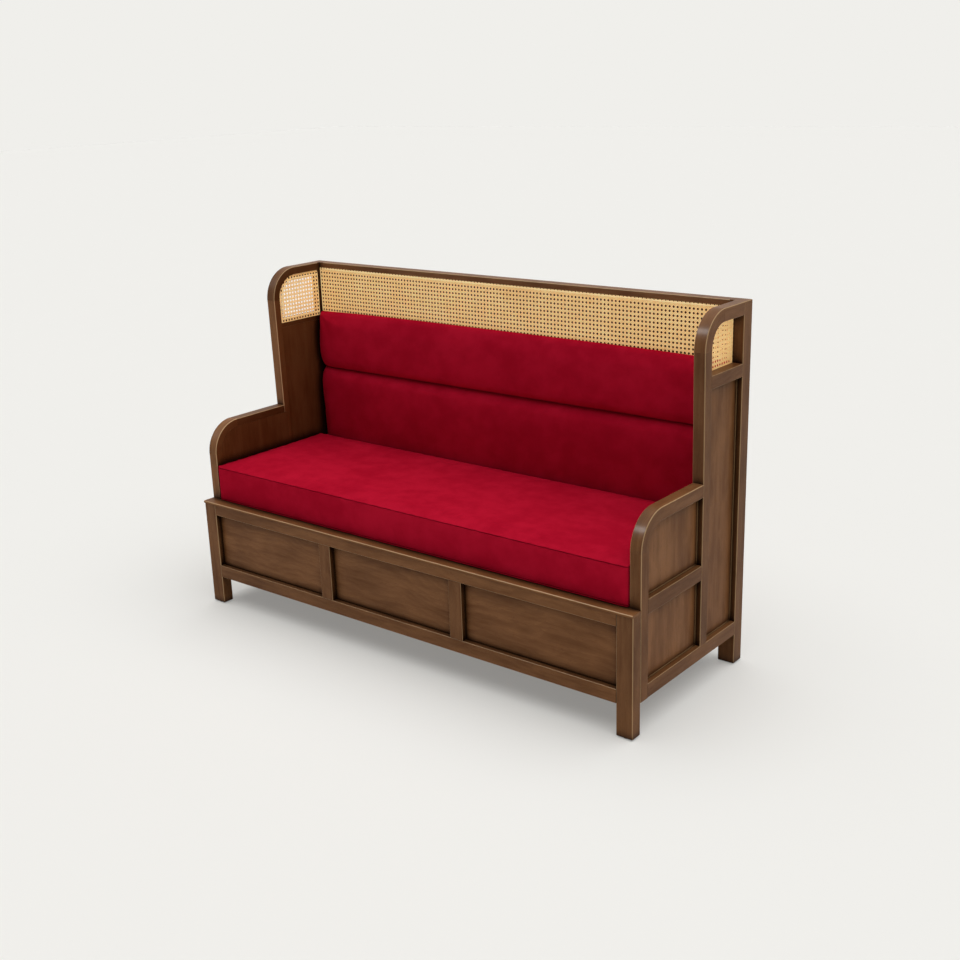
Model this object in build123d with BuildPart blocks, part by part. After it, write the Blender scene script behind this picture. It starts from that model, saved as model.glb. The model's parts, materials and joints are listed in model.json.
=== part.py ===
from build123d import *
from math import cos, hypot, radians, sin, tan
import os

# A three-seat settle: a box base on four feet, winged ends with rounded corners, a cane band along
# the top of the back, a padded back of two rolls and a loose boxed seat cushion.
# Millimetres, +Z up, +Y to the back. The origin lies on the floor, under the middle of the outline.
# Pieces of the end frames are modelled on the right, at +X, and mirrored to the left.

# Overall sizes
width = 1650.0
depth = 599.0
height = 1065.0
arm_height = 607.0
seat_board_height = 356.0
ground_clearance = 96.0

# Fits and eased edges
joint_clearance = 0.2
panel_clearance = 0.3
soft_clearance = 0.3
overrun = 5.0
edge_ease = 3.0
opening_ease = 1.5
corner_ease_share = 0.6

# Mortise and tenon joints
tenon_thickness = 10.0
tenon_length = 20.0
stub_length = 13.0
shoulder = 5.0

# Front frame: two legs, rails and muntins of one thickness, three panels in grooves
leg_width = 51.0
leg_depth = 38.0
nosing_overhang = 3.0
nosing_thickness = 7.0
nosing_reach = 24.0
nosing_round = 3.0
front_rail_thickness = 30.0
front_top_rail_height = 35.0
bottom_rail_height = 41.0
muntin_width = 46.0
left_opening_width = 474.3
middle_opening_width = 469.2
front_panel_thickness = 7.0
front_panel_recess = 17.5
groove_depth = 8.0
front_bead = 2.5
bead_chamfer_share = 0.6

# End frames: an arm part in front of a tall wing part
end_thickness = 35.0
band = 36.0
corner_radius = 100.0
wing_width = 247.0
wing_lean = 1.1
arm_mid_rail_drop = 22.0
arm_mid_rail_height = 42.0
cane_opening_height = 133.0
cane_rail_height = 36.0
end_panel_thickness = 17.0
rebate_width = 11.0
end_bead = 3.0
bead_clearance = 0.1

# Rear posts and the glides under the feet
post_width = 51.0
post_depth = 45.0
glide_height = 3.0
glide_radius = 14.0
foot_chamfer = 2.0

# Cane
cane_thickness = 1.5
cane_set_back = 1.5
cane_pitch = 12.7
cane_gap = 6.4

# Back
back_set_back = 11.0
cane_board_thickness = 9.0
cane_below_pad = 12.0
back_top_rail_height = 40.0
back_top_lip_height = 17.0
back_mid_rail_height = 48.0
back_seat_rail_height = 56.0
base_panel_thickness = 6.0

# Seat
deck_thickness = 18.0
bearer_width = 40.0
bearer_height = 38.0
bearer_stub = 5.0
bearer_shares = (-0.3, 0.0, 0.3)
cleat_width = 20.0
cleat_height = 30.0
screw_radius = 2.2
screw_head_radius = 4.6
screw_length = 40.0

# Seat cushion
cushion_thickness = 107.0
cushion_crown = 9.0
cushion_bulge = 2.5
cushion_side_gap = 1.5
cushion_corner = 12.0
cushion_end_run = 45.0
cushion_end_inset = 7.0
end_run_shares = (0.0, 0.3, 1.0)
crown_end_share = 0.2

# Back pad
pad_thickness = 36.0
pad_side_gap = 1.0
pad_upper_roll = 190.0
pad_channel_depth = 15.0
pad_roll_run = 110.0
pad_upper_set_back = 2.5
pad_roll_share = 0.4
pad_roll_sag_share = 0.36
pad_top_drop = 24.0
pad_brow_share = 0.4
pad_crest_share = 0.66
pad_crest_drop_share = 0.3
pad_end_run = 40.0
pad_end_inset = 12.0
pad_crown = 8.0

# Places along Y, from the front to the back
front = -depth / 2
back = depth / 2
frame_front = front + nosing_overhang
end_front = frame_front + leg_depth
rail_back = frame_front + front_rail_thickness
wing_front = back - wing_width
post_front = back - post_depth
nosing_back = end_front + nosing_reach
back_front = post_front + back_set_back
back_layer = cane_thickness + cane_board_thickness
back_rear = back_front + back_layer
pad_front = back_front - soft_clearance - pad_thickness

# Places along X
outer_x = width / 2
inner_x = outer_x - end_thickness
leg_inner_x = outer_x - leg_width
post_inner_x = outer_x - post_width
panel_x = inner_x + end_panel_thickness
cane_x = inner_x + cane_set_back
end_tenon_x = (panel_x + outer_x) / 2

# Places along Z
panel_bottom = ground_clearance + bottom_rail_height
nosing_bottom = seat_board_height - nosing_thickness
panel_top = nosing_bottom - front_top_rail_height
arm_mid_rail_level = seat_board_height - arm_mid_rail_drop
arm_mid_rail_top = arm_mid_rail_level + arm_mid_rail_height
cane_rail_top = height - band - cane_opening_height
cane_rail_level = cane_rail_top - cane_rail_height
deck_bottom = seat_board_height - deck_thickness
back_seat_rail_bottom = seat_board_height - back_seat_rail_height
back_top_rail_bottom = height - back_top_rail_height
back_lip_bottom = height - back_top_lip_height
pad_bottom = seat_board_height + soft_clearance
pad_top = cane_rail_top
pad_channel_level = pad_top - pad_upper_roll
cane_board_level = pad_top - cane_below_pad
back_mid_rail_bottom = cane_board_level - back_mid_rail_height / 2
back_mid_rail_top = cane_board_level + back_mid_rail_height / 2

# The wing's front edge stands upright up to the arm and leans forward above it, then runs into the
# rounded corner, whose centre keeps the edge tangent.
lean_cos = cos(radians(wing_lean))
lean_sin = sin(radians(wing_lean))
wing_centre_z = height - corner_radius
wing_centre_y = wing_front + (corner_radius - (wing_centre_z - arm_height) * lean_sin) / lean_cos
arm_centre_y = end_front + corner_radius
arm_centre_z = arm_height - corner_radius


def wing_line(z, inset):
    """Place along Y of the line that follows the wing's front edge, inset behind it."""
    rise = max(z - arm_height, 0)
    return wing_front + inset / lean_cos - rise * tan(radians(wing_lean))


def wing_spring(radius):
    """The point where a rounded corner of a radius springs from the wing's front edge."""
    return (wing_centre_y - radius * lean_cos, wing_centre_z - radius * lean_sin)


def centred(place, size):
    """The span of a size about a place."""
    return (place - size / 2, place + size / 2)


def grown(spans, gap):
    """The spans of a block, larger by a gap on every side."""
    return [(low - gap, high + gap) for low, high in spans]


def block(x_span, y_span, z_span, mode=Mode.ADD):
    """A straight block between two places along each axis, in the open part."""
    with BuildSketch(Plane.XY.offset(z_span[0])) as foot:
        with Locations((sum(x_span) / 2, sum(y_span) / 2)):
            Rectangle(x_span[1] - x_span[0], y_span[1] - y_span[0])
    extrude(foot.sketch, amount=z_span[1] - z_span[0], mode=mode)


def tenon(spans):
    """A tenon, or a tongue, on the open part."""
    block(*spans)


def mortise(spans):
    """The mortise of a tenon, in the open part."""
    block(*grown(spans, joint_clearance), mode=Mode.SUBTRACT)


def end_plate(outline, grow, x_span, mode=Mode.ADD):
    """A flat plate in an end frame: an opening's outline, grown on every side, in the open part."""
    with BuildSketch(Plane.YZ.offset(x_span[0])) as sketch:
        outline(grow)
    extrude(sketch.sketch, amount=x_span[1] - x_span[0], mode=mode)


def panel_seat(outline):
    """The rebate or groove that an end panel lies in, in the open part."""
    seat_span = (inner_x - panel_clearance, panel_x)
    end_plate(outline, rebate_width + panel_clearance, seat_span, mode=Mode.SUBTRACT)


def cane_seat():
    """The shallow rebate that the wing's cane lies in, in the open part."""
    seat_span = (inner_x - panel_clearance, cane_x + cane_thickness)
    end_plate(cane_outline, rebate_width + panel_clearance, seat_span, mode=Mode.SUBTRACT)


# Outlines of the openings in an end frame, in its plane, each grown by an amount on every side
def arm_lower_outline(grow):
    """The square opening below the arm's middle rail."""
    low_y = end_front + band - grow
    high_y = wing_front + grow
    low_z = panel_bottom - grow
    high_z = arm_mid_rail_level + grow
    with BuildLine() as line:
        Polyline((low_y, low_z), (high_y, low_z), (high_y, high_z), (low_y, high_z), close=True)
    make_face(line.edges())


def arm_upper_outline(grow):
    """The opening under the arm, with its upper front corner rounded."""
    low_y = end_front + band - grow
    high_y = wing_front + grow
    low_z = arm_mid_rail_top - grow
    high_z = arm_height - band + grow
    with BuildLine() as line:
        CenterArc((arm_centre_y, arm_centre_z), corner_radius - band + grow, 90, 90)
        Polyline(
            (low_y, arm_centre_z),
            (low_y, low_z),
            (high_y, low_z),
            (high_y, high_z),
            (arm_centre_y, high_z),
        )
    make_face(line.edges())


def wing_outline(grow):
    """The tall opening between the wing stile and the rear post."""
    low_z = panel_bottom - grow
    high_z = cane_rail_level + grow
    inset = band - grow
    with BuildLine() as line:
        Polyline(
            (wing_line(low_z, inset), low_z),
            (post_front + grow, low_z),
            (post_front + grow, high_z),
            (wing_line(high_z, inset), high_z),
            (wing_line(arm_height, inset), arm_height),
            close=True,
        )
    make_face(line.edges())


def cane_outline(grow):
    """The cane's opening, with a rounded corner; it ends at the post and doesn't grow there."""
    low_z = cane_rail_top - grow
    high_z = height - band + grow
    arc_radius = corner_radius - band + grow
    with BuildLine() as line:
        arc = CenterArc((wing_centre_y, wing_centre_z), arc_radius, 90, 90 + wing_lean)
        Polyline(
            arc @ 1,
            (wing_line(low_z, band - grow), low_z),
            (post_front, low_z),
            (post_front, high_z),
            arc @ 0,
        )
    make_face(line.edges())


def corner_band(centre, sweep):
    """A rounded corner between a stile and a top rail, in the open part."""
    with BuildSketch(Plane.YZ.offset(inner_x)) as sketch:
        with BuildLine():
            outer = CenterArc(centre, corner_radius, 90, sweep)
            inner = CenterArc(centre, corner_radius - band, 90, sweep)
            Line(outer @ 0, inner @ 0)
            Line(outer @ 1, inner @ 1)
        make_face()
    extrude(sketch.sketch, amount=end_thickness)


def ease_corner(corner):
    """Ease the long edges of a rounded corner: the outer pair, and the outside one of the opening."""
    arcs = corner.edges().filter_by(GeomType.CIRCLE).sort_by(SortBy.RADIUS)
    chamfer(arcs[-2:], length=edge_ease * corner_ease_share)
    arcs = corner.edges().filter_by(GeomType.CIRCLE).sort_by(SortBy.RADIUS)
    chamfer(arcs[:2].sort_by(Axis.X)[-1], length=opening_ease * corner_ease_share)


# Tenons of the front frame, on the right
front_tenon_y = centred(frame_front + front_rail_thickness / 2, tenon_thickness)
leg_tenon_x = (leg_inner_x, leg_inner_x + tenon_length)
front_top_tenon = [
    leg_tenon_x,
    front_tenon_y,
    (panel_top + groove_depth + shoulder / 2, nosing_bottom - shoulder),
]
front_bottom_tenon = [
    leg_tenon_x,
    front_tenon_y,
    (ground_clearance + shoulder, panel_bottom - groove_depth - shoulder / 2),
]

# Front panels between the legs and the muntins, each with a tongue all round
left_opening = (-leg_inner_x, -leg_inner_x + left_opening_width)
left_muntin = (left_opening[1], left_opening[1] + muntin_width)
middle_opening = (left_muntin[1], left_muntin[1] + middle_opening_width)
right_muntin = (middle_opening[1], middle_opening[1] + muntin_width)
right_opening = (right_muntin[1], leg_inner_x)
front_openings = (left_opening, middle_opening, right_opening)
front_panel_y = (
    frame_front + front_panel_recess,
    frame_front + front_panel_recess + front_panel_thickness,
)
tongue = groove_depth - panel_clearance
front_panels = [
    [
        (opening[0] - tongue, opening[1] + tongue),
        front_panel_y,
        (panel_bottom - tongue, panel_top + tongue),
    ]
    for opening in front_openings
]


def muntin_tenon(muntin_x):
    """The muntin's tenon, which runs through it and stands out at both ends."""
    clear = groove_depth + shoulder / 2
    return [
        (muntin_x[0] + clear, muntin_x[1] - clear),
        front_tenon_y,
        (panel_bottom - stub_length, panel_top + stub_length),
    ]


def front_grooves():
    """The grooves of all front panels, in the open part."""
    for spans in front_panels:
        block(*grown(spans, panel_clearance), mode=Mode.SUBTRACT)


# Tenons of the end frames
end_tenon_span = centred(end_tenon_x, tenon_thickness)
side_rail_tenon_z = (ground_clearance + shoulder, panel_bottom - shoulder)
stile_back = end_front + band
side_rail_front_tenon = [end_tenon_span, (stile_back - tenon_length, stile_back), side_rail_tenon_z]
side_rail_back_tenon = [end_tenon_span, (post_front, post_front + tenon_length), side_rail_tenon_z]
wing_foot_tenon = [
    end_tenon_span,
    (wing_front + shoulder, wing_line(panel_bottom, band) - shoulder),
    (panel_bottom - tenon_length, panel_bottom),
]
mid_rail_tenon_z = (arm_mid_rail_level + shoulder, arm_mid_rail_top - shoulder)
mid_rail_front_tenon = [end_tenon_span, (stile_back - tenon_length, stile_back), mid_rail_tenon_z]
mid_rail_back_tenon = [end_tenon_span, (wing_front, wing_front + stub_length), mid_rail_tenon_z]
arm_rail_tenon_z = (arm_height - band + shoulder, arm_height - shoulder)
arm_rail_front_tenon = [end_tenon_span, (arm_centre_y - stub_length, arm_centre_y), arm_rail_tenon_z]
arm_rail_back_tenon = [end_tenon_span, (wing_front, wing_front + stub_length), arm_rail_tenon_z]
arm_stile_tenon = [
    end_tenon_span,
    (end_front + shoulder, stile_back - shoulder),
    (arm_centre_z - shoulder, arm_centre_z + stub_length),
]
wing_spring_z = wing_centre_z - corner_radius * lean_sin
wing_head_tenon = [
    end_tenon_span,
    (wing_line(wing_spring_z, shoulder), wing_line(wing_spring_z, band - shoulder)),
    (wing_spring_z - shoulder, wing_spring_z + stub_length),
]
wing_rail_tenon_z = (height - band + shoulder, height - shoulder)
wing_rail_front_tenon = [
    end_tenon_span,
    (wing_centre_y - stub_length, wing_centre_y),
    wing_rail_tenon_z,
]
wing_rail_back_tenon = [end_tenon_span, (post_front, post_front + tenon_length), wing_rail_tenon_z]
cane_rail_tenon_z = (cane_rail_level + shoulder, cane_rail_top - shoulder)
cane_rail_front_tenon = [
    end_tenon_span,
    (wing_line(cane_rail_level, band) - stub_length, wing_line(cane_rail_level, band) + shoulder),
    cane_rail_tenon_z,
]
cane_rail_back_tenon = [end_tenon_span, (post_front, post_front + tenon_length), cane_rail_tenon_z]

# Tenons of the back rails, on the right
back_tenon_x = (post_inner_x, post_inner_x + tenon_length)
back_tenon_y = centred((back_rear + back) / 2, tenon_thickness)
back_top_tenon = [back_tenon_x, back_tenon_y, (back_top_rail_bottom + shoulder, height - shoulder)]
back_mid_tenon = [
    back_tenon_x,
    back_tenon_y,
    (back_mid_rail_bottom + shoulder, back_mid_rail_top - shoulder),
]
back_seat_tenon = [
    back_tenon_x,
    back_tenon_y,
    (back_seat_rail_bottom + groove_depth + shoulder / 2, seat_board_height - shoulder),
]
rear_bottom_tenon = [
    back_tenon_x,
    back_tenon_y,
    (ground_clearance + shoulder, panel_bottom - groove_depth - shoulder / 2),
]
base_panel_spans = [
    (-post_inner_x - tongue, post_inner_x + tongue),
    centred((back_rear + back) / 2, base_panel_thickness),
    (panel_bottom - tongue, back_seat_rail_bottom + tongue),
]

# The seat's bearers and the tenons at their two ends
bearer_places = [share * width for share in bearer_shares]
bearer_z = (deck_bottom - bearer_height, deck_bottom)
bearer_tenon_z = (panel_top + shoulder, deck_bottom - shoulder)


def bearer_tenons(x):
    """The front and back tenons of the bearer at a place along X."""
    tenon_x = centred(x, bearer_width - shoulder * 2)
    return [
        [tenon_x, (rail_back - bearer_stub, rail_back), bearer_tenon_z],
        [tenon_x, (post_front, post_front + stub_length), bearer_tenon_z],
    ]


# Front legs
with BuildPart() as front_leg:
    block((leg_inner_x, outer_x), (frame_front, end_front), (glide_height, nosing_bottom))
    fillet(front_leg.edges().filter_by(Axis.Z), radius=edge_ease)
    chamfer(front_leg.faces().sort_by(Axis.Z)[0].edges(), length=foot_chamfer)
    mortise(front_top_tenon)
    mortise(front_bottom_tenon)
    front_grooves()

# Front rails
with BuildPart() as front_top_rail:
    block((0, leg_inner_x), (frame_front, rail_back), (panel_top, nosing_bottom))
    low_lengths = front_top_rail.edges().filter_by(Axis.X).group_by(Axis.Z)[0]
    fillet(low_lengths.sort_by(Axis.Y)[0], radius=opening_ease)
    tenon(front_top_tenon)
    mirror(about=Plane.YZ)
    front_grooves()
    mortise(muntin_tenon(left_muntin))
    mortise(muntin_tenon(right_muntin))
    for place in bearer_places:
        mortise(bearer_tenons(place)[0])

with BuildPart() as front_bottom_rail:
    block((0, leg_inner_x), (frame_front, rail_back), (ground_clearance, panel_bottom))
    fillet(front_bottom_rail.edges().filter_by(Axis.X).group_by(Axis.Y)[0], radius=opening_ease)
    tenon(front_bottom_tenon)
    mirror(about=Plane.YZ)
    front_grooves()
    mortise(muntin_tenon(left_muntin))
    mortise(muntin_tenon(right_muntin))


def make_muntin(muntin_x):
    """An upright between two front panels, tenoned into both rails."""
    with BuildPart() as muntin:
        block(muntin_x, (frame_front, rail_back), (panel_bottom, panel_top))
        fillet(muntin.edges().filter_by(Axis.Z).group_by(Axis.Y)[0], radius=opening_ease)
        tenon(muntin_tenon(muntin_x))
        front_grooves()
    return muntin.part


def make_board(spans):
    """A flat board or panel."""
    with BuildPart() as board:
        block(*spans)
    return board.part


# Thin beads in front of the three front panels, one ring each
with BuildPart() as front_beads:
    for opening in front_openings:
        bead_y = (front_panel_y[0] - front_bead, front_panel_y[0])
        ring = [
            (opening[0] + bead_clearance, opening[1] - bead_clearance),
            bead_y,
            (panel_bottom + bead_clearance, panel_top - bead_clearance),
        ]
        hole = [
            (opening[0] + front_bead, opening[1] - front_bead),
            bead_y,
            (panel_bottom + front_bead, panel_top - front_bead),
        ]
        block(*ring)
        block(*hole, mode=Mode.SUBTRACT)
    bead_faces = front_beads.faces().filter_by(Axis.Y).group_by(Axis.Y)[0]
    bead_edges = [edge for face in bead_faces for edge in face.inner_wires()[0].edges()]
    chamfer(bead_edges, length=front_bead * bead_chamfer_share)

# The seat's nosing lies on the legs and the top rail, and is notched round the arm stiles
with BuildPart() as seat_nosing:
    with BuildSketch(Plane.XY.offset(nosing_bottom)):
        with Locations((0, (front + end_front) / 2)):
            Rectangle(width, end_front - front)
        with Locations((0, (front + nosing_back) / 2)):
            Rectangle((inner_x - panel_clearance) * 2, nosing_back - front)
    extrude(amount=nosing_thickness)
    top_edges = seat_nosing.faces().sort_by(Axis.Z)[-1].edges()
    fillet(top_edges.filter_by(Axis.X).sort_by(Axis.Y)[0], radius=nosing_round)

# Arm: front stile, rounded corner, top rail and middle rail
with BuildPart() as arm_stile:
    block((inner_x, outer_x), (end_front, stile_back), (ground_clearance, arm_centre_z))
    uprights = arm_stile.edges().filter_by(Axis.Z)
    fillet(uprights.group_by(Axis.Y)[0], radius=edge_ease)
    fillet(uprights.group_by(Axis.Y)[-1].sort_by(Axis.X)[-1], radius=opening_ease)
    tenon(arm_stile_tenon)
    mortise(side_rail_front_tenon)
    mortise(mid_rail_front_tenon)
    panel_seat(arm_lower_outline)
    panel_seat(arm_upper_outline)

with BuildPart() as arm_corner:
    corner_band((arm_centre_y, arm_centre_z), 90)
    ease_corner(arm_corner)
    mortise(arm_stile_tenon)
    mortise(arm_rail_front_tenon)
    panel_seat(arm_upper_outline)

with BuildPart() as arm_top_rail:
    block((inner_x, outer_x), (arm_centre_y, wing_front), (arm_height - band, arm_height))
    lengths = arm_top_rail.edges().filter_by(Axis.Y)
    fillet(lengths.group_by(Axis.Z)[-1], radius=edge_ease)
    fillet(lengths.group_by(Axis.Z)[0].sort_by(Axis.X)[-1], radius=opening_ease)
    tenon(arm_rail_front_tenon)
    tenon(arm_rail_back_tenon)
    panel_seat(arm_upper_outline)

with BuildPart() as arm_mid_rail:
    block((inner_x, outer_x), (stile_back, wing_front), (arm_mid_rail_level, arm_mid_rail_top))
    lengths = arm_mid_rail.edges().filter_by(Axis.Y)
    fillet(lengths.group_by(Axis.X)[-1], radius=opening_ease)
    tenon(mid_rail_front_tenon)
    tenon(mid_rail_back_tenon)
    panel_seat(arm_lower_outline)
    panel_seat(arm_upper_outline)

with BuildPart() as side_bottom_rail:
    block((inner_x, outer_x), (stile_back, post_front), (ground_clearance, panel_bottom))
    lengths = side_bottom_rail.edges().filter_by(Axis.Y)
    fillet(lengths.group_by(Axis.X)[-1], radius=opening_ease)
    tenon(side_rail_front_tenon)
    tenon(side_rail_back_tenon)
    mortise(wing_foot_tenon)
    panel_seat(arm_lower_outline)
    panel_seat(wing_outline)

# Wing: leaning stile, rounded corner, top rail and the rail under the cane
with BuildPart() as wing_stile:
    with BuildSketch(Plane.YZ.offset(inner_x)):
        with BuildLine():
            Polyline(
                wing_spring(corner_radius),
                (wing_front, arm_height),
                (wing_front, panel_bottom),
                (wing_line(panel_bottom, band), panel_bottom),
                (wing_line(arm_height, band), arm_height),
                wing_spring(corner_radius - band),
                close=True,
            )
        make_face()
    extrude(amount=end_thickness)
    lengths = wing_stile.edges().filter_by(lambda edge: edge.length > band * 2)
    upper = lengths.filter_by(lambda edge: edge.center().Z > arm_height)
    fillet(upper.sort_by(Axis.Y)[:2], radius=edge_ease)
    lower = lengths.filter_by(lambda edge: edge.center().Z < arm_height)
    fillet(lower.group_by(Axis.X)[-1], radius=opening_ease)
    tenon(wing_foot_tenon)
    tenon(wing_head_tenon)
    mortise(mid_rail_back_tenon)
    mortise(arm_rail_back_tenon)
    mortise(cane_rail_front_tenon)
    panel_seat(arm_lower_outline)
    panel_seat(arm_upper_outline)
    panel_seat(wing_outline)
    cane_seat()

with BuildPart() as wing_corner:
    corner_band((wing_centre_y, wing_centre_z), 90 + wing_lean)
    ease_corner(wing_corner)
    mortise(wing_head_tenon)
    mortise(wing_rail_front_tenon)
    cane_seat()

with BuildPart() as wing_top_rail:
    block((inner_x, outer_x), (wing_centre_y, post_front), (height - band, height))
    lengths = wing_top_rail.edges().filter_by(Axis.Y)
    fillet(lengths.group_by(Axis.Z)[-1], radius=edge_ease)
    fillet(lengths.group_by(Axis.Z)[0].sort_by(Axis.X)[-1], radius=opening_ease)
    tenon(wing_rail_front_tenon)
    tenon(wing_rail_back_tenon)
    cane_seat()

with BuildPart() as cane_rail:
    with BuildSketch(Plane.YZ.offset(inner_x)):
        with BuildLine():
            Polyline(
                (wing_line(cane_rail_level, band), cane_rail_level),
                (post_front, cane_rail_level),
                (post_front, cane_rail_top),
                (wing_line(cane_rail_top, band), cane_rail_top),
                close=True,
            )
        make_face()
    extrude(amount=end_thickness)
    lengths = cane_rail.edges().filter_by(Axis.Y)
    fillet(lengths.group_by(Axis.X)[-1], radius=opening_ease)
    tenon(cane_rail_front_tenon)
    tenon(cane_rail_back_tenon)
    panel_seat(wing_outline)
    cane_seat()

# Rear post, down to the floor, rebated on its inner front corner for the back
with BuildPart() as rear_post:
    block((post_inner_x, outer_x), (post_front, back), (glide_height, height))
    fillet(rear_post.edges().filter_by(Axis.Z).sort_by(Axis.X)[-2:], radius=edge_ease)
    top_edges = rear_post.faces().sort_by(Axis.Z)[-1].edges()
    chamfer(top_edges.sort_by(Axis.Y)[-1], length=opening_ease)
    chamfer(rear_post.faces().sort_by(Axis.Z)[0].edges(), length=foot_chamfer)
    rebate_x = (post_inner_x - overrun, inner_x)
    board_rebate = [rebate_x, (post_front - overrun, back_rear), (seat_board_height, back_lip_bottom)]
    block(*board_rebate, mode=Mode.SUBTRACT)
    rail_rebate = [rebate_x, (post_front - overrun, back_front), (seat_board_height, height + overrun)]
    block(*rail_rebate, mode=Mode.SUBTRACT)
    for joint in (side_rail_back_tenon, wing_rail_back_tenon, cane_rail_back_tenon):
        mortise(joint)
    for joint in (back_top_tenon, back_mid_tenon, back_seat_tenon, rear_bottom_tenon):
        mortise(joint)
    panel_seat(wing_outline)
    block(*grown(base_panel_spans, panel_clearance), mode=Mode.SUBTRACT)


def make_end_panel(outline):
    """A flat panel of an end frame, flush with the inside and lying in its rebate."""
    with BuildPart() as panel:
        end_plate(outline, rebate_width, (inner_x, panel_x))
    return panel.part


# Beads round the panels of an end frame, one ring each
with BuildPart() as panel_beads:
    bead_span = (panel_x, panel_x + end_bead)
    for outline in (arm_lower_outline, arm_upper_outline, wing_outline):
        end_plate(outline, -bead_clearance, bead_span)
        end_plate(outline, -end_bead, bead_span, mode=Mode.SUBTRACT)
    bead_faces = panel_beads.faces().filter_by(Axis.X).group_by(Axis.X)[-1]
    bead_edges = [edge for face in bead_faces for edge in face.inner_wires()[0].edges()]
    chamfer(bead_edges, length=end_bead * bead_chamfer_share)


def in_cane_opening(y, z):
    """Whether a gap of the cane at this place lies inside the opening, rounded corner too."""
    half_gap = cane_gap / 2
    ahead = max(wing_centre_y - y, 0)
    above = max(z - wing_centre_z, 0)
    inside_corner = hypot(ahead, above) < corner_radius - band - half_gap
    behind_stile = y > wing_line(z, band) + half_gap
    below_rail = z < height - band - half_gap
    return inside_corner and behind_stile and below_rail


# Wing cane: one sheet with a gap between every pair of strands
cane_columns = int((post_front - wing_front) / cane_pitch)
cane_rows = int((height - cane_rail_top) / cane_pitch)
cane_places = [
    (post_front - (column + 0.5) * cane_pitch, cane_rail_top + (row + 0.5) * cane_pitch)
    for column in range(cane_columns)
    for row in range(cane_rows)
]
with BuildPart() as wing_cane:
    with BuildSketch(Plane.YZ.offset(cane_x)):
        cane_outline(rebate_width)
        with Locations(*[place for place in cane_places if in_cane_opening(*place)]):
            Rectangle(cane_gap, cane_gap, mode=Mode.SUBTRACT)
    extrude(amount=cane_thickness)

# Back rails between the posts
with BuildPart() as back_top_rail:
    block((0, post_inner_x), (back_rear, back), (back_top_rail_bottom, height))
    block((0, post_inner_x), (back_front, back_rear), (back_lip_bottom, height))
    top_lengths = back_top_rail.edges().filter_by(Axis.X).group_by(Axis.Z)[-1]
    fillet(top_lengths.sort_by(Axis.Y)[0], radius=edge_ease)
    top_lengths = back_top_rail.edges().filter_by(Axis.X).group_by(Axis.Z)[-1]
    fillet(top_lengths.sort_by(Axis.Y)[-1], radius=edge_ease)
    tenon(back_top_tenon)
    mirror(about=Plane.YZ)

with BuildPart() as back_mid_rail:
    block((0, post_inner_x), (back_rear, back), (back_mid_rail_bottom, back_mid_rail_top))
    tenon(back_mid_tenon)
    mirror(about=Plane.YZ)

with BuildPart() as back_seat_rail:
    block((0, post_inner_x), (post_front, back), (back_seat_rail_bottom, seat_board_height))
    tenon(back_seat_tenon)
    mirror(about=Plane.YZ)
    block(*grown(base_panel_spans, panel_clearance), mode=Mode.SUBTRACT)
    for place in bearer_places:
        mortise(bearer_tenons(place)[1])

with BuildPart() as rear_bottom_rail:
    block((0, post_inner_x), (back_rear, back), (ground_clearance, panel_bottom))
    tenon(rear_bottom_tenon)
    mirror(about=Plane.YZ)
    block(*grown(base_panel_spans, panel_clearance), mode=Mode.SUBTRACT)

# The back's boards and cane lie in the rebates of the posts and below the top rail's lip
board_x = (-inner_x + panel_clearance, inner_x - panel_clearance)
cane_rear = back_front + cane_thickness
cane_z = (cane_board_level + panel_clearance, back_lip_bottom - panel_clearance)
back_board = [board_x, (back_front, back_rear), (seat_board_height, cane_board_level)]
cane_board = [board_x, (cane_rear, back_rear), cane_z]
back_cane = [board_x, (back_front, cane_rear), cane_z]


def make_bearer(place):
    """A bearer from the front top rail to the rail at the back of the seat."""
    with BuildPart() as bearer:
        block(centred(place, bearer_width), (rail_back, post_front), bearer_z)
        for joint in bearer_tenons(place):
            tenon(joint)
    return bearer.part


# Cleats on the end frames, and the deck that is screwed down to them at its two ends
deck_y = (nosing_back + panel_clearance, post_front - panel_clearance)
screw_x = inner_x - cleat_width / 2
screw_spots = [(side * screw_x, sum(deck_y) / 2, seat_board_height) for side in (-1, 1)]

with BuildPart() as seat_deck:
    block(board_x, deck_y, (deck_bottom, seat_board_height))
    with Locations(*screw_spots):
        CounterSinkHole(
            radius=screw_radius + joint_clearance,
            counter_sink_radius=screw_head_radius + joint_clearance,
            counter_sink_angle=90,
        )

with BuildPart() as deck_screws:
    for x, y, z in screw_spots:
        with BuildSketch(Plane.XZ.offset(-y)) as profile:
            with BuildLine():
                head_drop = screw_head_radius - screw_radius
                Polyline(
                    (x, z),
                    (x + screw_head_radius, z),
                    (x + screw_radius, z - head_drop),
                    (x + screw_radius, z - screw_length),
                    (x, z - screw_length),
                    close=True,
                )
            make_face()
        revolve(axis=Axis((x, y, z), (0, 0, 1)))

with BuildPart() as deck_cleat:
    block(
        (inner_x - cleat_width, inner_x),
        (end_front + panel_clearance, post_front - panel_clearance),
        (deck_bottom - cleat_height, deck_bottom),
    )
    with Locations(*[(x, y, deck_bottom) for x, y, z in screw_spots if x > 0]):
        Hole(
            radius=screw_radius + joint_clearance,
            depth=screw_length - deck_thickness + joint_clearance,
        )

# Glides: a flat disc stuck under each foot
with BuildPart() as glides:
    leg_spot = ((leg_inner_x + outer_x) / 2, (frame_front + end_front) / 2)
    post_spot = ((post_inner_x + outer_x) / 2, (post_front + back) / 2)
    spots = [(side * x, y) for x, y in (leg_spot, post_spot) for side in (-1, 1)]
    with BuildSketch():
        with Locations(*spots):
            Circle(glide_radius)
    extrude(amount=glide_height)

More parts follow.
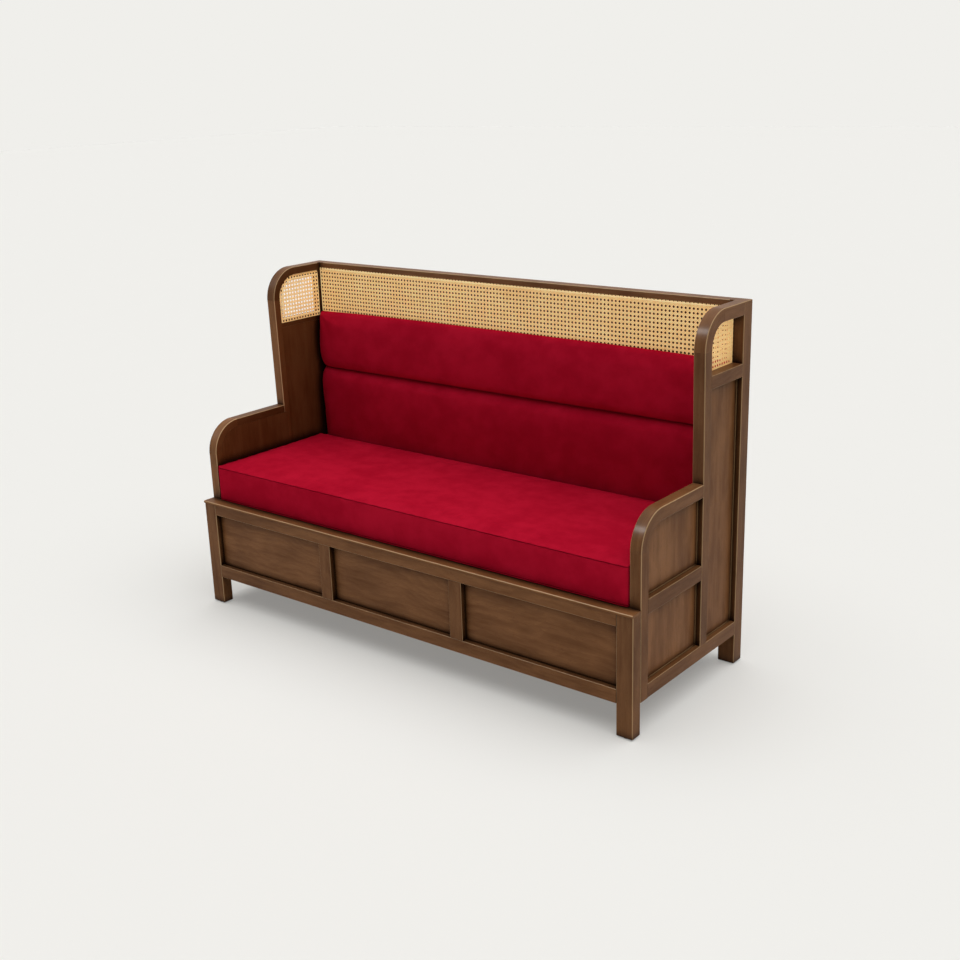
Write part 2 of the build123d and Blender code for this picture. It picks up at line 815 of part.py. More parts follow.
# Seat cushion: boxed, with a crown, a front that swells a little and ends that draw in
cushion_y = (end_front, pad_front - soft_clearance)
cushion_z = (
    seat_board_height + soft_clearance,
    seat_board_height + soft_clearance + cushion_thickness,
)
cushion_half = inner_x - cushion_side_gap
soft_share = 1 - cos(radians(45))


def cushion_section(x, inset, crown):
    """The cushion's outline across its length, drawn in by an inset, in the open part."""
    low_y, high_y = cushion_y[0] + inset, cushion_y[1] - inset
    low_z, high_z = cushion_z[0], cushion_z[1] - inset
    turn = cushion_corner
    cut = turn * soft_share
    mid_y, mid_z = (low_y + high_y) / 2, (low_z + high_z) / 2
    with BuildSketch(Plane.YZ.offset(x)) as sketch:
        with BuildLine():
            Line((low_y + turn, low_z), (high_y - turn, low_z))
            ThreePointArc(
                (high_y - turn, low_z), (high_y - cut, low_z + cut), (high_y, low_z + turn)
            )
            Line((high_y, low_z + turn), (high_y, high_z - turn))
            ThreePointArc(
                (high_y, high_z - turn), (high_y - cut, high_z - cut), (high_y - turn, high_z)
            )
            ThreePointArc((high_y - turn, high_z), (mid_y, high_z + crown), (low_y + turn, high_z))
            ThreePointArc(
                (low_y + turn, high_z), (low_y + cut, high_z - cut), (low_y, high_z - turn)
            )
            ThreePointArc(
                (low_y, high_z - turn), (low_y - cushion_bulge, mid_z), (low_y, low_z + turn)
            )
            ThreePointArc(
                (low_y, low_z + turn), (low_y + cut, low_z + cut), (low_y + turn, low_z)
            )
        make_face()
    return sketch.sketch


def loft_between_ends(section, half, run, end_inset, crown):
    """Loft a section between two ends that are drawn in, with a crown that falls off to them."""
    towards_end = [half - run * share for share in end_run_shares]
    stations = [-x for x in towards_end] + [-half / 2, 0, half / 2] + towards_end[::-1]
    sections = []
    for x in stations:
        run_left = max(1 - (half - abs(x)) / run, 0)
        flatness = 1 - (1 - crown_end_share) * (abs(x) / half) ** 4
        sections.append(section(x, end_inset * run_left**2, crown * flatness))
    loft(sections, ruled=True)


with BuildPart() as seat_cushion:
    loft_between_ends(
        cushion_section, cushion_half, cushion_end_run, cushion_end_inset, cushion_crown
    )

# Back pad: two rolls with a sewn channel between them, thinner towards both ends
pad_back = back_front - soft_clearance
pad_half = inner_x - pad_side_gap


def pad_section(x, inset, crown):
    """The pad's outline across its length, its front drawn in by an inset, in the open part."""
    face = pad_front + inset
    top = pad_top - inset / 2 + crown
    channel_depth = pad_channel_depth - inset / 2
    channel = (face + channel_depth, pad_channel_level)
    roll_start = pad_channel_level - pad_roll_run
    roll_sag = (
        face + channel_depth * pad_roll_sag_share,
        pad_channel_level - pad_roll_run * pad_roll_share,
    )
    roll_front = (face + pad_upper_set_back, (pad_channel_level + top) / 2)
    across = pad_back - face
    brow = (face + across * pad_brow_share, top - pad_top_drop)
    crest = (face + across * pad_crest_share, top - pad_top_drop * pad_crest_drop_share)
    with BuildSketch(Plane.YZ.offset(x)) as sketch:
        with BuildLine():
            Line((pad_back, pad_bottom), (face, pad_bottom))
            Line((face, pad_bottom), (face, roll_start))
            ThreePointArc((face, roll_start), roll_sag, channel)
            ThreePointArc(channel, roll_front, brow)
            ThreePointArc(brow, crest, (pad_back, top))
            Line((pad_back, top), (pad_back, pad_bottom))
        make_face()
    return sketch.sketch


with BuildPart() as back_pad:
    loft_between_ends(pad_section, pad_half, pad_end_run, pad_end_inset, pad_crown)

# Write every piece
right_hand = {
    "front_leg": front_leg.part,
    "arm_stile": arm_stile.part,
    "arm_corner": arm_corner.part,
    "arm_top_rail": arm_top_rail.part,
    "arm_mid_rail": arm_mid_rail.part,
    "side_bottom_rail": side_bottom_rail.part,
    "wing_stile": wing_stile.part,
    "wing_corner": wing_corner.part,
    "wing_top_rail": wing_top_rail.part,
    "cane_rail": cane_rail.part,
    "rear_post": rear_post.part,
    "arm_lower_panel": make_end_panel(arm_lower_outline),
    "arm_upper_panel": make_end_panel(arm_upper_outline),
    "wing_panel": make_end_panel(wing_outline),
    "panel_beads": panel_beads.part,
    "wing_cane": wing_cane.part,
    "deck_cleat": deck_cleat.part,
}
single = {
    "front_top_rail": front_top_rail.part,
    "front_bottom_rail": front_bottom_rail.part,
    "front_muntin_left": make_muntin(left_muntin),
    "front_muntin_right": make_muntin(right_muntin),
    "front_panel_left": make_board(front_panels[0]),
    "front_panel_middle": make_board(front_panels[1]),
    "front_panel_right": make_board(front_panels[2]),
    "front_beads": front_beads.part,
    "seat_nosing": seat_nosing.part,
    "back_top_rail": back_top_rail.part,
    "back_mid_rail": back_mid_rail.part,
    "back_seat_rail": back_seat_rail.part,
    "rear_bottom_rail": rear_bottom_rail.part,
    "base_back_panel": make_board(base_panel_spans),
    "back_board": make_board(back_board),
    "cane_board": make_board(cane_board),
    "back_cane": make_board(back_cane),
    "seat_bearer_left": make_bearer(bearer_places[0]),
    "seat_bearer_middle": make_bearer(bearer_places[1]),
    "seat_bearer_right": make_bearer(bearer_places[2]),
    "seat_deck": seat_deck.part,
    "deck_screws": deck_screws.part,
    "glides": glides.part,
    "seat_cushion": seat_cushion.part,
    "back_pad": back_pad.part,
}


def write(name, part):
    """Label a piece and write it to its own file."""
    part.label = name
    export_step(part, f"parts/{name}.step")


os.makedirs("parts", exist_ok=True)
for name, part in single.items():
    write(name, part)
for name, part in right_hand.items():
    write(f"{name}_right", part)
    write(f"{name}_left", mirror(part, about=Plane.YZ))
print(f"{len(single) + len(right_hand) * 2} pieces")
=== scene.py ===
"""Dress the settle in stained oak, woven cane and crimson velvet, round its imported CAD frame.

Metres, with +X to the right of someone who faces the front, +Y to the back and +Z up.
"""

import json
import logging
import sys
from dataclasses import dataclass
from enum import Enum
from math import cos, pi, radians, sin
from typing import Callable, ClassVar

import bmesh
import bpy
import numpy as np
from mathutils import Matrix, Vector

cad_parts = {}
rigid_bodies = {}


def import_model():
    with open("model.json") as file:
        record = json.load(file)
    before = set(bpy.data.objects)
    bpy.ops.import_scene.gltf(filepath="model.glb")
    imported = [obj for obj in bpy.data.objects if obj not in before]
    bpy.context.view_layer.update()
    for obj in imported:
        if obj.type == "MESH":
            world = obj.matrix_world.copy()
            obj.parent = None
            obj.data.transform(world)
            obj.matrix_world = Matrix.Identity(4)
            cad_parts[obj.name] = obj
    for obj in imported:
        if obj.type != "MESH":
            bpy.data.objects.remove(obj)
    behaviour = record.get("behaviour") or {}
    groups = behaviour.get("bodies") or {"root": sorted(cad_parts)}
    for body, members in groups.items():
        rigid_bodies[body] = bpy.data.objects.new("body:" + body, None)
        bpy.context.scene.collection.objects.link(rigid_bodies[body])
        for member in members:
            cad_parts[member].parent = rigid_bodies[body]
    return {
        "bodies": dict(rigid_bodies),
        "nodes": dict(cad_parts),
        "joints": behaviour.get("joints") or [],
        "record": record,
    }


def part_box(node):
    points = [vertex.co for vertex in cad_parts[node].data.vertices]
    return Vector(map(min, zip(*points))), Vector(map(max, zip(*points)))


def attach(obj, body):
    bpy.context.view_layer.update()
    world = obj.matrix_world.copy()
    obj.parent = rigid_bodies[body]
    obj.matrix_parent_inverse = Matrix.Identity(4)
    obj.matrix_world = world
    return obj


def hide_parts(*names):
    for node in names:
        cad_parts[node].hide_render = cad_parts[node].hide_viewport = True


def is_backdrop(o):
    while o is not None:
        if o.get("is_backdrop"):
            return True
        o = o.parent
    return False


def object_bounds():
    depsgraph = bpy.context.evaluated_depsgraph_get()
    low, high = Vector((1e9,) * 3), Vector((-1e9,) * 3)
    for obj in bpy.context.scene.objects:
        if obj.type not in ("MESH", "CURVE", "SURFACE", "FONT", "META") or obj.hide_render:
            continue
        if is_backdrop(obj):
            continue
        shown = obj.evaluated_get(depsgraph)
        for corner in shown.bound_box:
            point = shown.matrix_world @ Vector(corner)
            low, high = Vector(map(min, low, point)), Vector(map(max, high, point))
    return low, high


log = logging.getLogger("settle")

Pair = tuple[float, float]
Three = tuple[float, float, float]
Colour = Three
Waves = tuple[Three, ...]
Array = np.ndarray

IMAGE_PIXELS = 960
CORNER_RADIUS = 0.100
TINY = 1e-9


# Nodes of a material
class Signal:
    """An output of a node. Arithmetic on it adds Math nodes.

    So ``1 - pores * 0.3`` builds the nodes that work it out, whichever side the number is on.
    """

    def __init__(self, web: "NodeWeb", socket: bpy.types.NodeSocket) -> None:
        """Wrap a socket of a node tree."""
        self.web = web
        self.socket = socket

    def math(self, operation: str, first: "Signal | float", second: "Signal | float") -> "Signal":
        """Add a Math node of an operation on two values."""
        return self.web.node("ShaderNodeMath", {"operation": operation}, {0: first, 1: second})

    def __add__(self, other: "Signal | float") -> "Signal":
        """The sum of both."""
        return self.math("ADD", self, other)

    __radd__ = __add__

    def __sub__(self, other: "Signal | float") -> "Signal":
        """This less the other."""
        return self.math("SUBTRACT", self, other)

    def __rsub__(self, other: "Signal | float") -> "Signal":
        """The other less this."""
        return self.math("SUBTRACT", other, self)

    def __mul__(self, other: "Signal | float") -> "Signal":
        """The product of both."""
        return self.math("MULTIPLY", self, other)

    __rmul__ = __mul__

    def __pow__(self, other: "Signal | float") -> "Signal":
        """This to the power of the other."""
        return self.math("POWER", self, other)

    def size(self) -> "Signal":
        """The value without its sign."""
        return self.math("ABSOLUTE", self, 0.0)

    def fraction(self) -> "Signal":
        """The part after the decimal point, from 0 to 1."""
        return self.math("FRACT", self, 0.0)


Place = tuple[Signal, Signal, Signal]


@dataclass(frozen=True)
class Mottle:
    """A noise pattern: its scale along three lengths, its octaves and how rough they are."""

    scale: Three
    detail: float = 2.0
    lumps: float = 0.5


@dataclass(frozen=True)
class Coat:
    """A colour that covers others by its share of a value.

    Where it has levels, the value is first spread from where it begins to count to where it
    counts in full.
    """

    colour: Colour
    share: float = 1.0
    levels: Pair | None = None


class NodeWeb:
    """A node tree, to which one method adds every kind of node."""

    def __init__(self, holder: bpy.types.Material | bpy.types.World) -> None:
        """Empty the nodes of a material or of the world."""
        holder.use_nodes = True
        self.holder = holder
        self.tree = holder.node_tree
        self.tree.nodes.clear()

    @classmethod
    def of_material(cls, name: str) -> "NodeWeb":
        """The web of a new material."""
        return cls(bpy.data.materials.new(name))

    def node(
        self,
        kind: str,
        settings: dict[str, object] | None = None,
        inputs: dict[str | int, object] | None = None,
        output: str | int = 0,
    ) -> Signal:
        """Add a node.

        Args:
            kind: Its type, such as ShaderNodeTexNoise.
            settings: Its own settings, such as an operation, set first.
            inputs: A value or a Signal for each socket, by the socket's name or place.
            output: The output that is wanted, by name or place.

        Returns:
            That output.
        """
        node = self.tree.nodes.new(kind)
        for name, value in (settings or {}).items():
            setattr(node, name, value)
        for name, value in (inputs or {}).items():
            if isinstance(value, Signal):
                self.tree.links.new(value.socket, node.inputs[name])
            else:
                node.inputs[name].default_value = value
        return Signal(self, node.outputs[output])

    def outputs(self, first: Signal, *names: str) -> tuple[Signal, ...]:
        """Outputs of the node that a signal comes from, by their names."""
        return tuple(Signal(self, first.socket.node.outputs[name]) for name in names)

    def parts(self, vector: Signal) -> Place:
        """The three values of a vector."""
        first = self.node("ShaderNodeSeparateXYZ", inputs={"Vector": vector})
        return self.outputs(first, "X", "Y", "Z")

    def place(self) -> Place:
        """The object coordinates, as three values."""
        return self.parts(self.node("ShaderNodeTexCoord", output="Object"))

    def facing(self) -> Place:
        """How far the surface faces along each axis, as three values."""
        return self.parts(self.node("ShaderNodeNewGeometry", output="Normal"))

    def stored(self, name: str) -> Signal:
        """A value that the mesh keeps for each of its points."""
        return self.node("ShaderNodeAttribute", {"attribute_name": name}, output="Fac")

    def seen(self) -> Signal:
        """1 where the camera looks, also in a gloss or through glass, and 0 for other light."""
        path = self.node("ShaderNodeLightPath")
        names = ("Is Camera Ray", "Is Glossy Ray", "Is Transmission Ray")
        straight, glossy, through = self.outputs(path, *names)
        return self.spread(straight + glossy + through, 0.0, 1.0)

    def noise(self, place: Place, mottle: Mottle, slide: Three = (0.0, 0.0, 0.0)) -> Signal:
        """The noise of a pattern.

        Args:
            place: Three lengths, which the pattern scales.
            mottle: The pattern.
            slide: How far each scaled length is slid.

        Returns:
            The noise, from 0 to 1.
        """
        lengths = {
            axis: length * size + move if move else length * size
            for axis, (length, size, move) in enumerate(zip(place, mottle.scale, slide))
        }
        vector = self.node("ShaderNodeCombineXYZ", inputs=lengths)
        return self.node(
            "ShaderNodeTexNoise",
            {"noise_dimensions": "3D"},
            {"Vector": vector, "Scale": 1.0, "Detail": mottle.detail, "Roughness": mottle.lumps},
        )

    def spread(self, value: Signal, low: float, high: float) -> Signal:
        """Spread a value from 0 at low to 1 at high, eased and held at both ends."""
        inputs = {"Value": value, "From Min": low, "From Max": high}
        return self.node("ShaderNodeMapRange", {"interpolation_type": "SMOOTHSTEP"}, inputs)

    def layers(self, body: Signal | Colour, *coats: tuple[Signal | float, Coat]) -> Signal:
        """Colours laid over a body one after another.

        Args:
            body: The colour underneath.
            coats: The value that each coat follows, with the coat, the first one first.

        Returns:
            The colour that shows.
        """
        for value, coat in coats:
            if coat.levels:
                value = self.spread(value, *coat.levels)
            under = body if isinstance(body, Signal) else (*body, 1.0)
            inputs = {0: value * coat.share, 6: under, 7: (*coat.colour, 1.0)}
            body = self.node("ShaderNodeMix", {"data_type": "RGBA"}, inputs, 2)
        return body

    def bump(self, height: Signal, distance: float, strength: float) -> Signal:
        """A normal bent by a height, in metres of full relief."""
        inputs = {"Height": height, "Distance": distance, "Strength": strength}
        return self.node("ShaderNodeBump", inputs=inputs)

    def close(self, inputs: dict[str, object]) -> bpy.types.Material:
        """End a material in one surface shader with these inputs, and hand it back."""
        self.end("ShaderNodeOutputMaterial", self.node("ShaderNodeBsdfPrincipled", inputs=inputs))
        return self.holder

    def end(self, kind: str, shader: Signal) -> None:
        """Send a shader to the surface of an output node."""
        output = self.tree.nodes.new(kind)
        self.tree.links.new(shader.socket, output.inputs["Surface"])


# Meshes worked out with numpy
def grid_faces(rows: int, columns: int, closed: bool) -> Array:
    """Corner numbers of the quads of a grid.

    Args:
        rows: Points along the first parameter.
        columns: Points along the second parameter, which runs fastest.
        closed: Whether the second parameter runs round and joins up.

    Returns:
        One row of four corners for each quad.
    """
    last = columns if closed else columns - 1
    row, column = np.meshgrid(np.arange(rows - 1), np.arange(last), indexing="ij")
    here = row * columns + column
    beside = row * columns + (column + 1) % columns
    return np.stack([here, beside, beside + columns, here + columns], axis=-1).reshape(-1, 4)


def end_caps(first: int, rows: int, columns: int) -> list[list[int]]:
    """The faces that close both ends of a grid that runs round, from its first point's number."""
    last = first + (rows - 1) * columns
    return [list(range(first, first + columns))[::-1], list(range(last, last + columns))]


def make_piece(name: str, points: Array, faces: list[list[int]]) -> bpy.types.Object:
    """Make a smooth-shaded mesh object at the origin.

    Args:
        name: The piece's name.
        points: Its points, in metres.
        faces: The corner numbers of each face.

    Returns:
        The object, linked to the scene.
    """
    mesh = bpy.data.meshes.new(name)
    mesh.from_pydata(points.reshape(-1, 3).tolist(), [], faces)
    mesh.validate()
    mesh.shade_smooth()
    piece = bpy.data.objects.new(name, mesh)
    bpy.context.scene.collection.objects.link(piece)
    return piece


def points_of(mesh: bpy.types.Mesh) -> Array:
    """A mesh's vertices as an array of three columns."""
    flat = np.empty(len(mesh.vertices) * 3, np.float32)
    mesh.vertices.foreach_get("co", flat)
    return flat.reshape(-1, 3).astype(float)


def move_points(mesh: bpy.types.Mesh, points: Array) -> None:
    """Put a mesh's vertices at new places."""
    mesh.vertices.foreach_set("co", points.astype(np.float32).ravel())
    mesh.update()


def store(piece: bpy.types.Object, name: str, values: Array) -> None:
    """Keep a value for each point of a piece, which its material reads."""
    layer = piece.data.attributes.new(name, "FLOAT", "POINT")
    layer.data.foreach_set("value", values.astype(np.float32))


def assign(piece: bpy.types.Object, material: bpy.types.Material) -> None:
    """Put one material on all of a piece."""
    piece.data.materials.clear()
    piece.data.materials.append(material)
    log.info("%s is dressed in %s", piece.name, material.name)


def ease_corners(points: Array, half: Array, radius: float) -> Array:
    """Points of a rectangle about zero, moved so that its corners are round.

    A point beyond the core, which is smaller by the radius on every side, keeps its direction
    from the core, and its distance becomes the larger of its two parts.
    """
    core = np.clip(points, -(half - radius), half - radius)
    away = points - core
    length = np.maximum(np.linalg.norm(away, axis=-1, keepdims=True), TINY)
    return core + away * np.abs(away).max(axis=-1, keepdims=True) / length


def ripple(run: Array, waves: Waves) -> Array:
    """The sum of sines along a length, each with its height, its wavelength and its start."""
    return sum(height * np.sin(run / length * 2 * pi + start) for height, length, start in waves)


def spaced(low: float, high: float, edge: tuple[float, ...], step: float) -> Array:
    """Places from low to high: at set distances from both ends, and evenly between these."""
    near = np.array(edge)
    inner = np.linspace(low + near[-1], high - near[-1], int((high - low) / step))
    return np.concatenate([low + near[:-1], inner, (high - near[:-1])[::-1]])


# Finishes
class Grain(Enum):
    """The way the wood's fibres run in a piece."""

    ALONG_X = "x"
    ALONG_Y = "y"
    ALONG_Z = "z"
    ROUND = "round"


@dataclass(frozen=True)
class Cut:
    """How one piece of oak is cut and stained.

    The centre is the place along Y and Z that a rounded piece's fibres turn about. From 0 to 1,
    settled is how much painted shade lies over the whole piece, and ledge_light is how far its
    faces that look up are kept clear of the painted shade in the recesses. The tone is a share of
    the log's own, and inner_side is the sign of X towards the sitters, where the faces get painted
    shade, or 0.
    """

    grain: Grain
    centre: Pair
    # Painted shade over the whole piece.
    settled: float
    ledge_light: float
    tone: float
    inner_side: float


@dataclass(frozen=True)
class StainedOak:
    """Open-grained oak under a walnut-brown stain and a satin lacquer.

    The growth rings are circles round a pith that lies beside the piece and wanders along it, so
    that a cut face shows their arches. Fine fibres and short dark pores run along the grain.
    A pair of levels says where a value begins to count and where it counts in full.
    """

    facing_levels: Pair = (0.80, 0.95)
    dark: Colour = (0.094, 0.032, 0.0080)
    pale: Coat = Coat((0.300, 0.135, 0.0530))
    shade: Coat = Coat((0.203, 0.083, 0.0280), 0.40)
    fibres: Coat = Coat(dark, 0.22, (0.3, 0.75))
    pore_stain: Coat = Coat((0.050, 0.015, 0.0035), 0.55)
    # Painted shade on the faces towards the sitters.
    inner: Coat = Coat((0.058, 0.0115, 0.0004), 0.55, facing_levels)
    # Wear and a painted highlight on the rounded edges.
    rubbed_and_highlit: Coat = Coat((0.640, 0.420, 0.2200), 0.72)
    # The colour of the painted shade, nearly black.
    settled: Coat = Coat((0.010, 0.003, 0.0006))
    wander: Mottle = Mottle((2.4, 4.0, 4.0), 3.0)
    waver: Mottle = Mottle((8.0, 22.0, 22.0), 3.0)
    fibre: Mottle = Mottle((11.0, 620.0, 620.0), 3.0, 0.6)
    streak: Mottle = Mottle((4.2, 52.0, 52.0), 4.0, 0.62)
    cloud: Mottle = Mottle((5.5, 13.0, 13.0), 3.0, 0.55)
    dash: Mottle = Mottle((75.0, 1500.0, 1500.0), 1.0)
    rings_per_metre: float = 58.0
    wander_reach: float = 0.24
    waver_rings: float = 1.4
    turn_length: float = 0.1
    recess_reach: float = 0.036
    ring_levels: Pair = (0.15, 0.95)
    ring_edge_levels: Pair = (0.93, 1.0)
    pore_levels: Pair = (0.63, 0.70)
    figure_levels: Pair = (0.34, 0.64)
    edge_levels: Pair = (0.20, 0.46)
    open_levels: Pair = (0.40, 0.96)
    streak_share: float = 0.42
    ring_share: float = 0.2
    late_loss: float = 0.75
    roughness: float = 0.42
    coat: float = 0.05
    gloss: float = 0.07
    relief: float = 0.00022

    def directions(self, web: NodeWeb, cut: Cut) -> Place:
        """The place in a piece as a length along its grain and two across it.

        Args:
            web: The material's nodes.
            cut: The piece's cut.

        Returns:
            The lengths along, across and through the grain, in metres.
        """
        x, y, z = web.place()
        straight = {Grain.ALONG_X: (x, z, y), Grain.ALONG_Y: (y, z, x), Grain.ALONG_Z: (z, y, x)}
        if cut.grain in straight:
            return straight[cut.grain]
        ahead, above = y - cut.centre[0], z - cut.centre[1]
        reach = (ahead * ahead + above * above) ** 0.5
        return above.math("ARCTAN2", above, ahead) * self.turn_length, reach, x

    def late_wood(
        self, web: NodeWeb, place: Place, shift: list[float], pith: list[float]
    ) -> Signal:
        """How near each place is to the dark end of its growth ring.

        The distance from the wandering pith, in rings, has a fraction that climbs from 0 to 1
        through each ring. It is eased, and falls back quickly at the ring's edge.

        Args:
            web: The material's nodes.
            place: The lengths along, across and through the grain.
            shift: How far the patterns are slid.
            pith: Where the pith lies, across and through the grain.

        Returns:
            The value, from 0 to 1.
        """
        wander = web.noise(place, self.wander, (0.0, shift[1], 0.0)) * self.wander_reach
        waver = web.noise(place, self.waver, (0.0, 0.0, shift[2])) * self.waver_rings
        side, front = place[1] + pith[0] + wander, place[2] + pith[1]
        distance = ((side * side + front * front) ** 0.5) * self.rings_per_metre
        ring = (distance + waver).fraction()
        return web.spread(ring, *self.ring_levels) * (1 - web.spread(ring, *self.ring_edge_levels))

    def make(self, name: str, cut: Cut, draw: np.random.Generator) -> bpy.types.Material:
        """The material of one piece, cut from its own place in the log.

        Args:
            name: The material's name.
            cut: How the piece is cut and stained.
            draw: The random draws that set the piece's place in the log and its tone.

        Returns:
            The material.
        """
        shift = draw.uniform(-9.0, 9.0, 3).tolist()
        pith = (draw.uniform(0.05, 0.16, 2) * draw.choice([-1.0, 1.0], 2)).tolist()
        tone = float(draw.uniform(0.93, 1.07)) * cut.tone
        web = NodeWeb.of_material(name)
        along, across, through = self.directions(web, cut)
        place = (along + shift[0], across, through)
        late = self.late_wood(web, place, shift, pith)
        fibre = web.noise(place, self.fibre)
        streak = web.noise(place, self.streak, (0.0, 0.0, shift[1]))
        cloud = web.noise(place, self.cloud, (0.0, 0.0, shift[2]))
        pores = web.spread(web.noise(place, self.dash), *self.pore_levels)
        pores = pores * (1 - late * self.late_loss)
        patches = streak * self.streak_share + cloud * (1 - self.streak_share)
        figure = web.spread(patches, *self.figure_levels) * (1 - self.ring_share)
        face_x, _, face_z = web.facing()
        # Wear and a painted highlight on the rounded edges, none on pieces under painted shade.
        worn_and_highlit = self.eased_edges(web, cut.grain) * (1 - cut.settled)
        # Painted shade in the recesses, held off faces that look up, plus the painted shade over a
        # whole piece.
        ledge = web.spread(face_z, *self.facing_levels) * cut.ledge_light
        painted_shade = self.painted_recess_shade(web) * (1 - ledge) * (1 - cut.settled) + cut.settled
        body = web.layers(
            self.dark,
            (figure + (1 - late) * self.ring_share, self.pale),
            (1.0, self.shade),
            (fibre, self.fibres),
            (pores, self.pore_stain),
            # Painted shade on the faces towards the sitters.
            (face_x * cut.inner_side, self.inner),
            (worn_and_highlit, self.rubbed_and_highlit),
            (painted_shade, self.settled),
        )
        tinted = {"Value": tone, "Saturation": 1.0, "Color": body}
        height = fibre * 0.25 - pores * 0.7 + late * 0.12
        return web.close(
            {
                "Base Color": web.node("ShaderNodeHueSaturation", inputs=tinted),
                "Roughness": self.roughness + pores * 0.22 + (0.5 - streak) * 0.10 - worn_and_highlit * 0.06,
                "Coat Weight": (0.0 if cut.settled else self.coat) * (1 - painted_shade),
                "Coat Roughness": 0.22,
                "Specular IOR Level": 0.0 if cut.settled else self.gloss,
                "Normal": web.bump(height, self.relief, 0.55),
            }
        )

    def painted_recess_shade(self, web: NodeWeb) -> Signal:
        """Near 1 in inner corners, where painted shade darkens the wood, and 0 on an open face."""
        reach = {"Distance": self.recess_reach}
        openness = web.node("ShaderNodeAmbientOcclusion", {"samples": 8}, reach, "AO")
        return 1 - web.spread(openness, *self.open_levels)

    def eased_edges(self, web: NodeWeb, grain: Grain) -> Signal:
        """Near 1 on a rounded edge, where the surface faces between two axes, and 0 on a flat.

        Args:
            web: The material's nodes.
            grain: The piece's grain. A rounded piece faces between Y and Z without an edge.

        Returns:
            The value, from 0 to 1.
        """
        face_x, face_y, face_z = (value.size() for value in web.facing())
        turned = face_x * face_y + face_x * face_z
        if grain is not Grain.ROUND:
            turned = turned + face_y * face_z
        return web.spread(turned, *self.edge_levels)


@dataclass(frozen=True)
class PlainBoard:
    """Unstained beech board, out of sight in the seat."""

    dark: Colour = (0.30, 0.18, 0.09)
    shade: Coat = Coat((0.46, 0.30, 0.16))
    flecked: Coat = Coat(dark, 0.4)
    fibre: Mottle = Mottle((8.0, 260.0, 260.0), 3.0, 0.6)
    fleck: Mottle = Mottle((90.0, 900.0, 900.0), 1.0)
    fleck_levels: Pair = (0.62, 0.70)

    def make(self) -> bpy.types.Material:
        """The material, with fine fibres along X and short flecks."""
        web = NodeWeb.of_material("plain_board")
        place = web.place()
        fibre = web.noise(place, self.fibre)
        fleck = web.spread(web.noise(place, self.fleck), *self.fleck_levels)
        return web.close(
            {
                "Base Color": web.layers(self.dark, (fibre, self.shade), (fleck, self.flecked)),
                "Roughness": 0.62 + fleck * 0.1,
                "Normal": web.bump(fibre, 0.0002, 0.4),
            }
        )


@dataclass(frozen=True)
class CaneBark:
    """The glossy outer bark of rattan, split into strands that differ a little in tone.

    The bark gives off a faint light in its own colour, a painted glow that stands for light coming
    through thin cane.
    """

    shade: Colour = (1.00, 0.655, 0.262)
    pale: Coat = Coat((1.00, 0.775, 0.385))
    spotted: Coat = Coat((0.78, 0.400, 0.105), 0.5, (0.52, 0.80))
    patched: Coat = Coat((0.78, 0.400, 0.105), 0.22, (0.35, 0.75))
    spots: Mottle = Mottle((140.0, 140.0, 140.0), 3.0, 0.6)
    patch: Mottle = Mottle((9.0, 9.0, 9.0))
    painted_glow: float = 0.24

    def make(self) -> bpy.types.Material:
        """The material, whose tone follows each strand's own number."""
        web = NodeWeb.of_material("cane_bark")
        place = web.place()
        spots = web.noise(place, self.spots)
        patch = web.noise(place, self.patch)
        tone = web.stored("strand_tone")
        body = web.layers(
            self.shade, (tone, self.pale), (spots, self.spotted), (patch, self.patched)
        )
        return web.close(
            {
                "Base Color": body,
                "Roughness": 0.38 + spots * 0.16,
                "Specular IOR Level": 0.35,
                # Painted glow in the bark's own colour.
                "Emission Color": body,
                "Emission Strength": self.painted_glow,
                "Normal": web.bump(spots, 0.0001, 0.4),
            }
        )


@dataclass(frozen=True)
class CrimsonVelvet:
    """Short-pile crimson velvet. The pile lies unevenly, so its patches catch the light apart."""

    crushed: Colour = (0.335, 0.0034, 0.0170)
    raised: Coat = Coat((0.505, 0.0092, 0.0325), levels=(0.36, 0.64))
    shade: Coat = Coat((0.425, 0.0062, 0.0245), 0.38)
    tipped: Coat = Coat(crushed, 0.35, (0.3, 0.8))
    # Painted shade in the seams, with the pile crushed there.
    seam_shade: Coat = Coat((0.060, 0.0004, 0.0030), 0.85)
    sheen: Colour = (1.0, 0.035, 0.110)
    drift: Mottle = Mottle((4.0, 4.6, 4.6), 3.0, 0.55)
    patch: Mottle = Mottle((19.0, 21.0, 21.0), 4.0, 0.6)
    pile: Mottle = Mottle((900.0, 900.0, 900.0), 2.0, 0.7)
    tuft: Mottle = Mottle((190.0, 190.0, 190.0), 2.0, 0.6)

    def make(self, name: str) -> bpy.types.Material:
        """The material of one cushion."""
        web = NodeWeb.of_material(name)
        place = web.place()
        drift, patch, pile, tuft = (
            web.noise(place, mottle) for mottle in (self.drift, self.patch, self.pile, self.tuft)
        )
        body = web.layers(
            self.crushed,
            (drift * 0.5 + patch * 0.5, self.raised),
            (1.0, self.shade),
            (pile, self.tipped),
            # Painted shade along the seams.
            (web.stored("seam"), self.seam_shade),
        )
        return web.close(
            {
                "Base Color": body,
                "Roughness": 0.78 + patch * 0.12,
                "Specular IOR Level": 0.0,
                "Sheen Weight": 0.12,
                "Sheen Roughness": 0.40,
                "Sheen Tint": (*self.sheen, 1.0),
                "Normal": web.bump(pile * 0.6 + tuft * 0.4, 0.0006, 0.35),
            }
        )


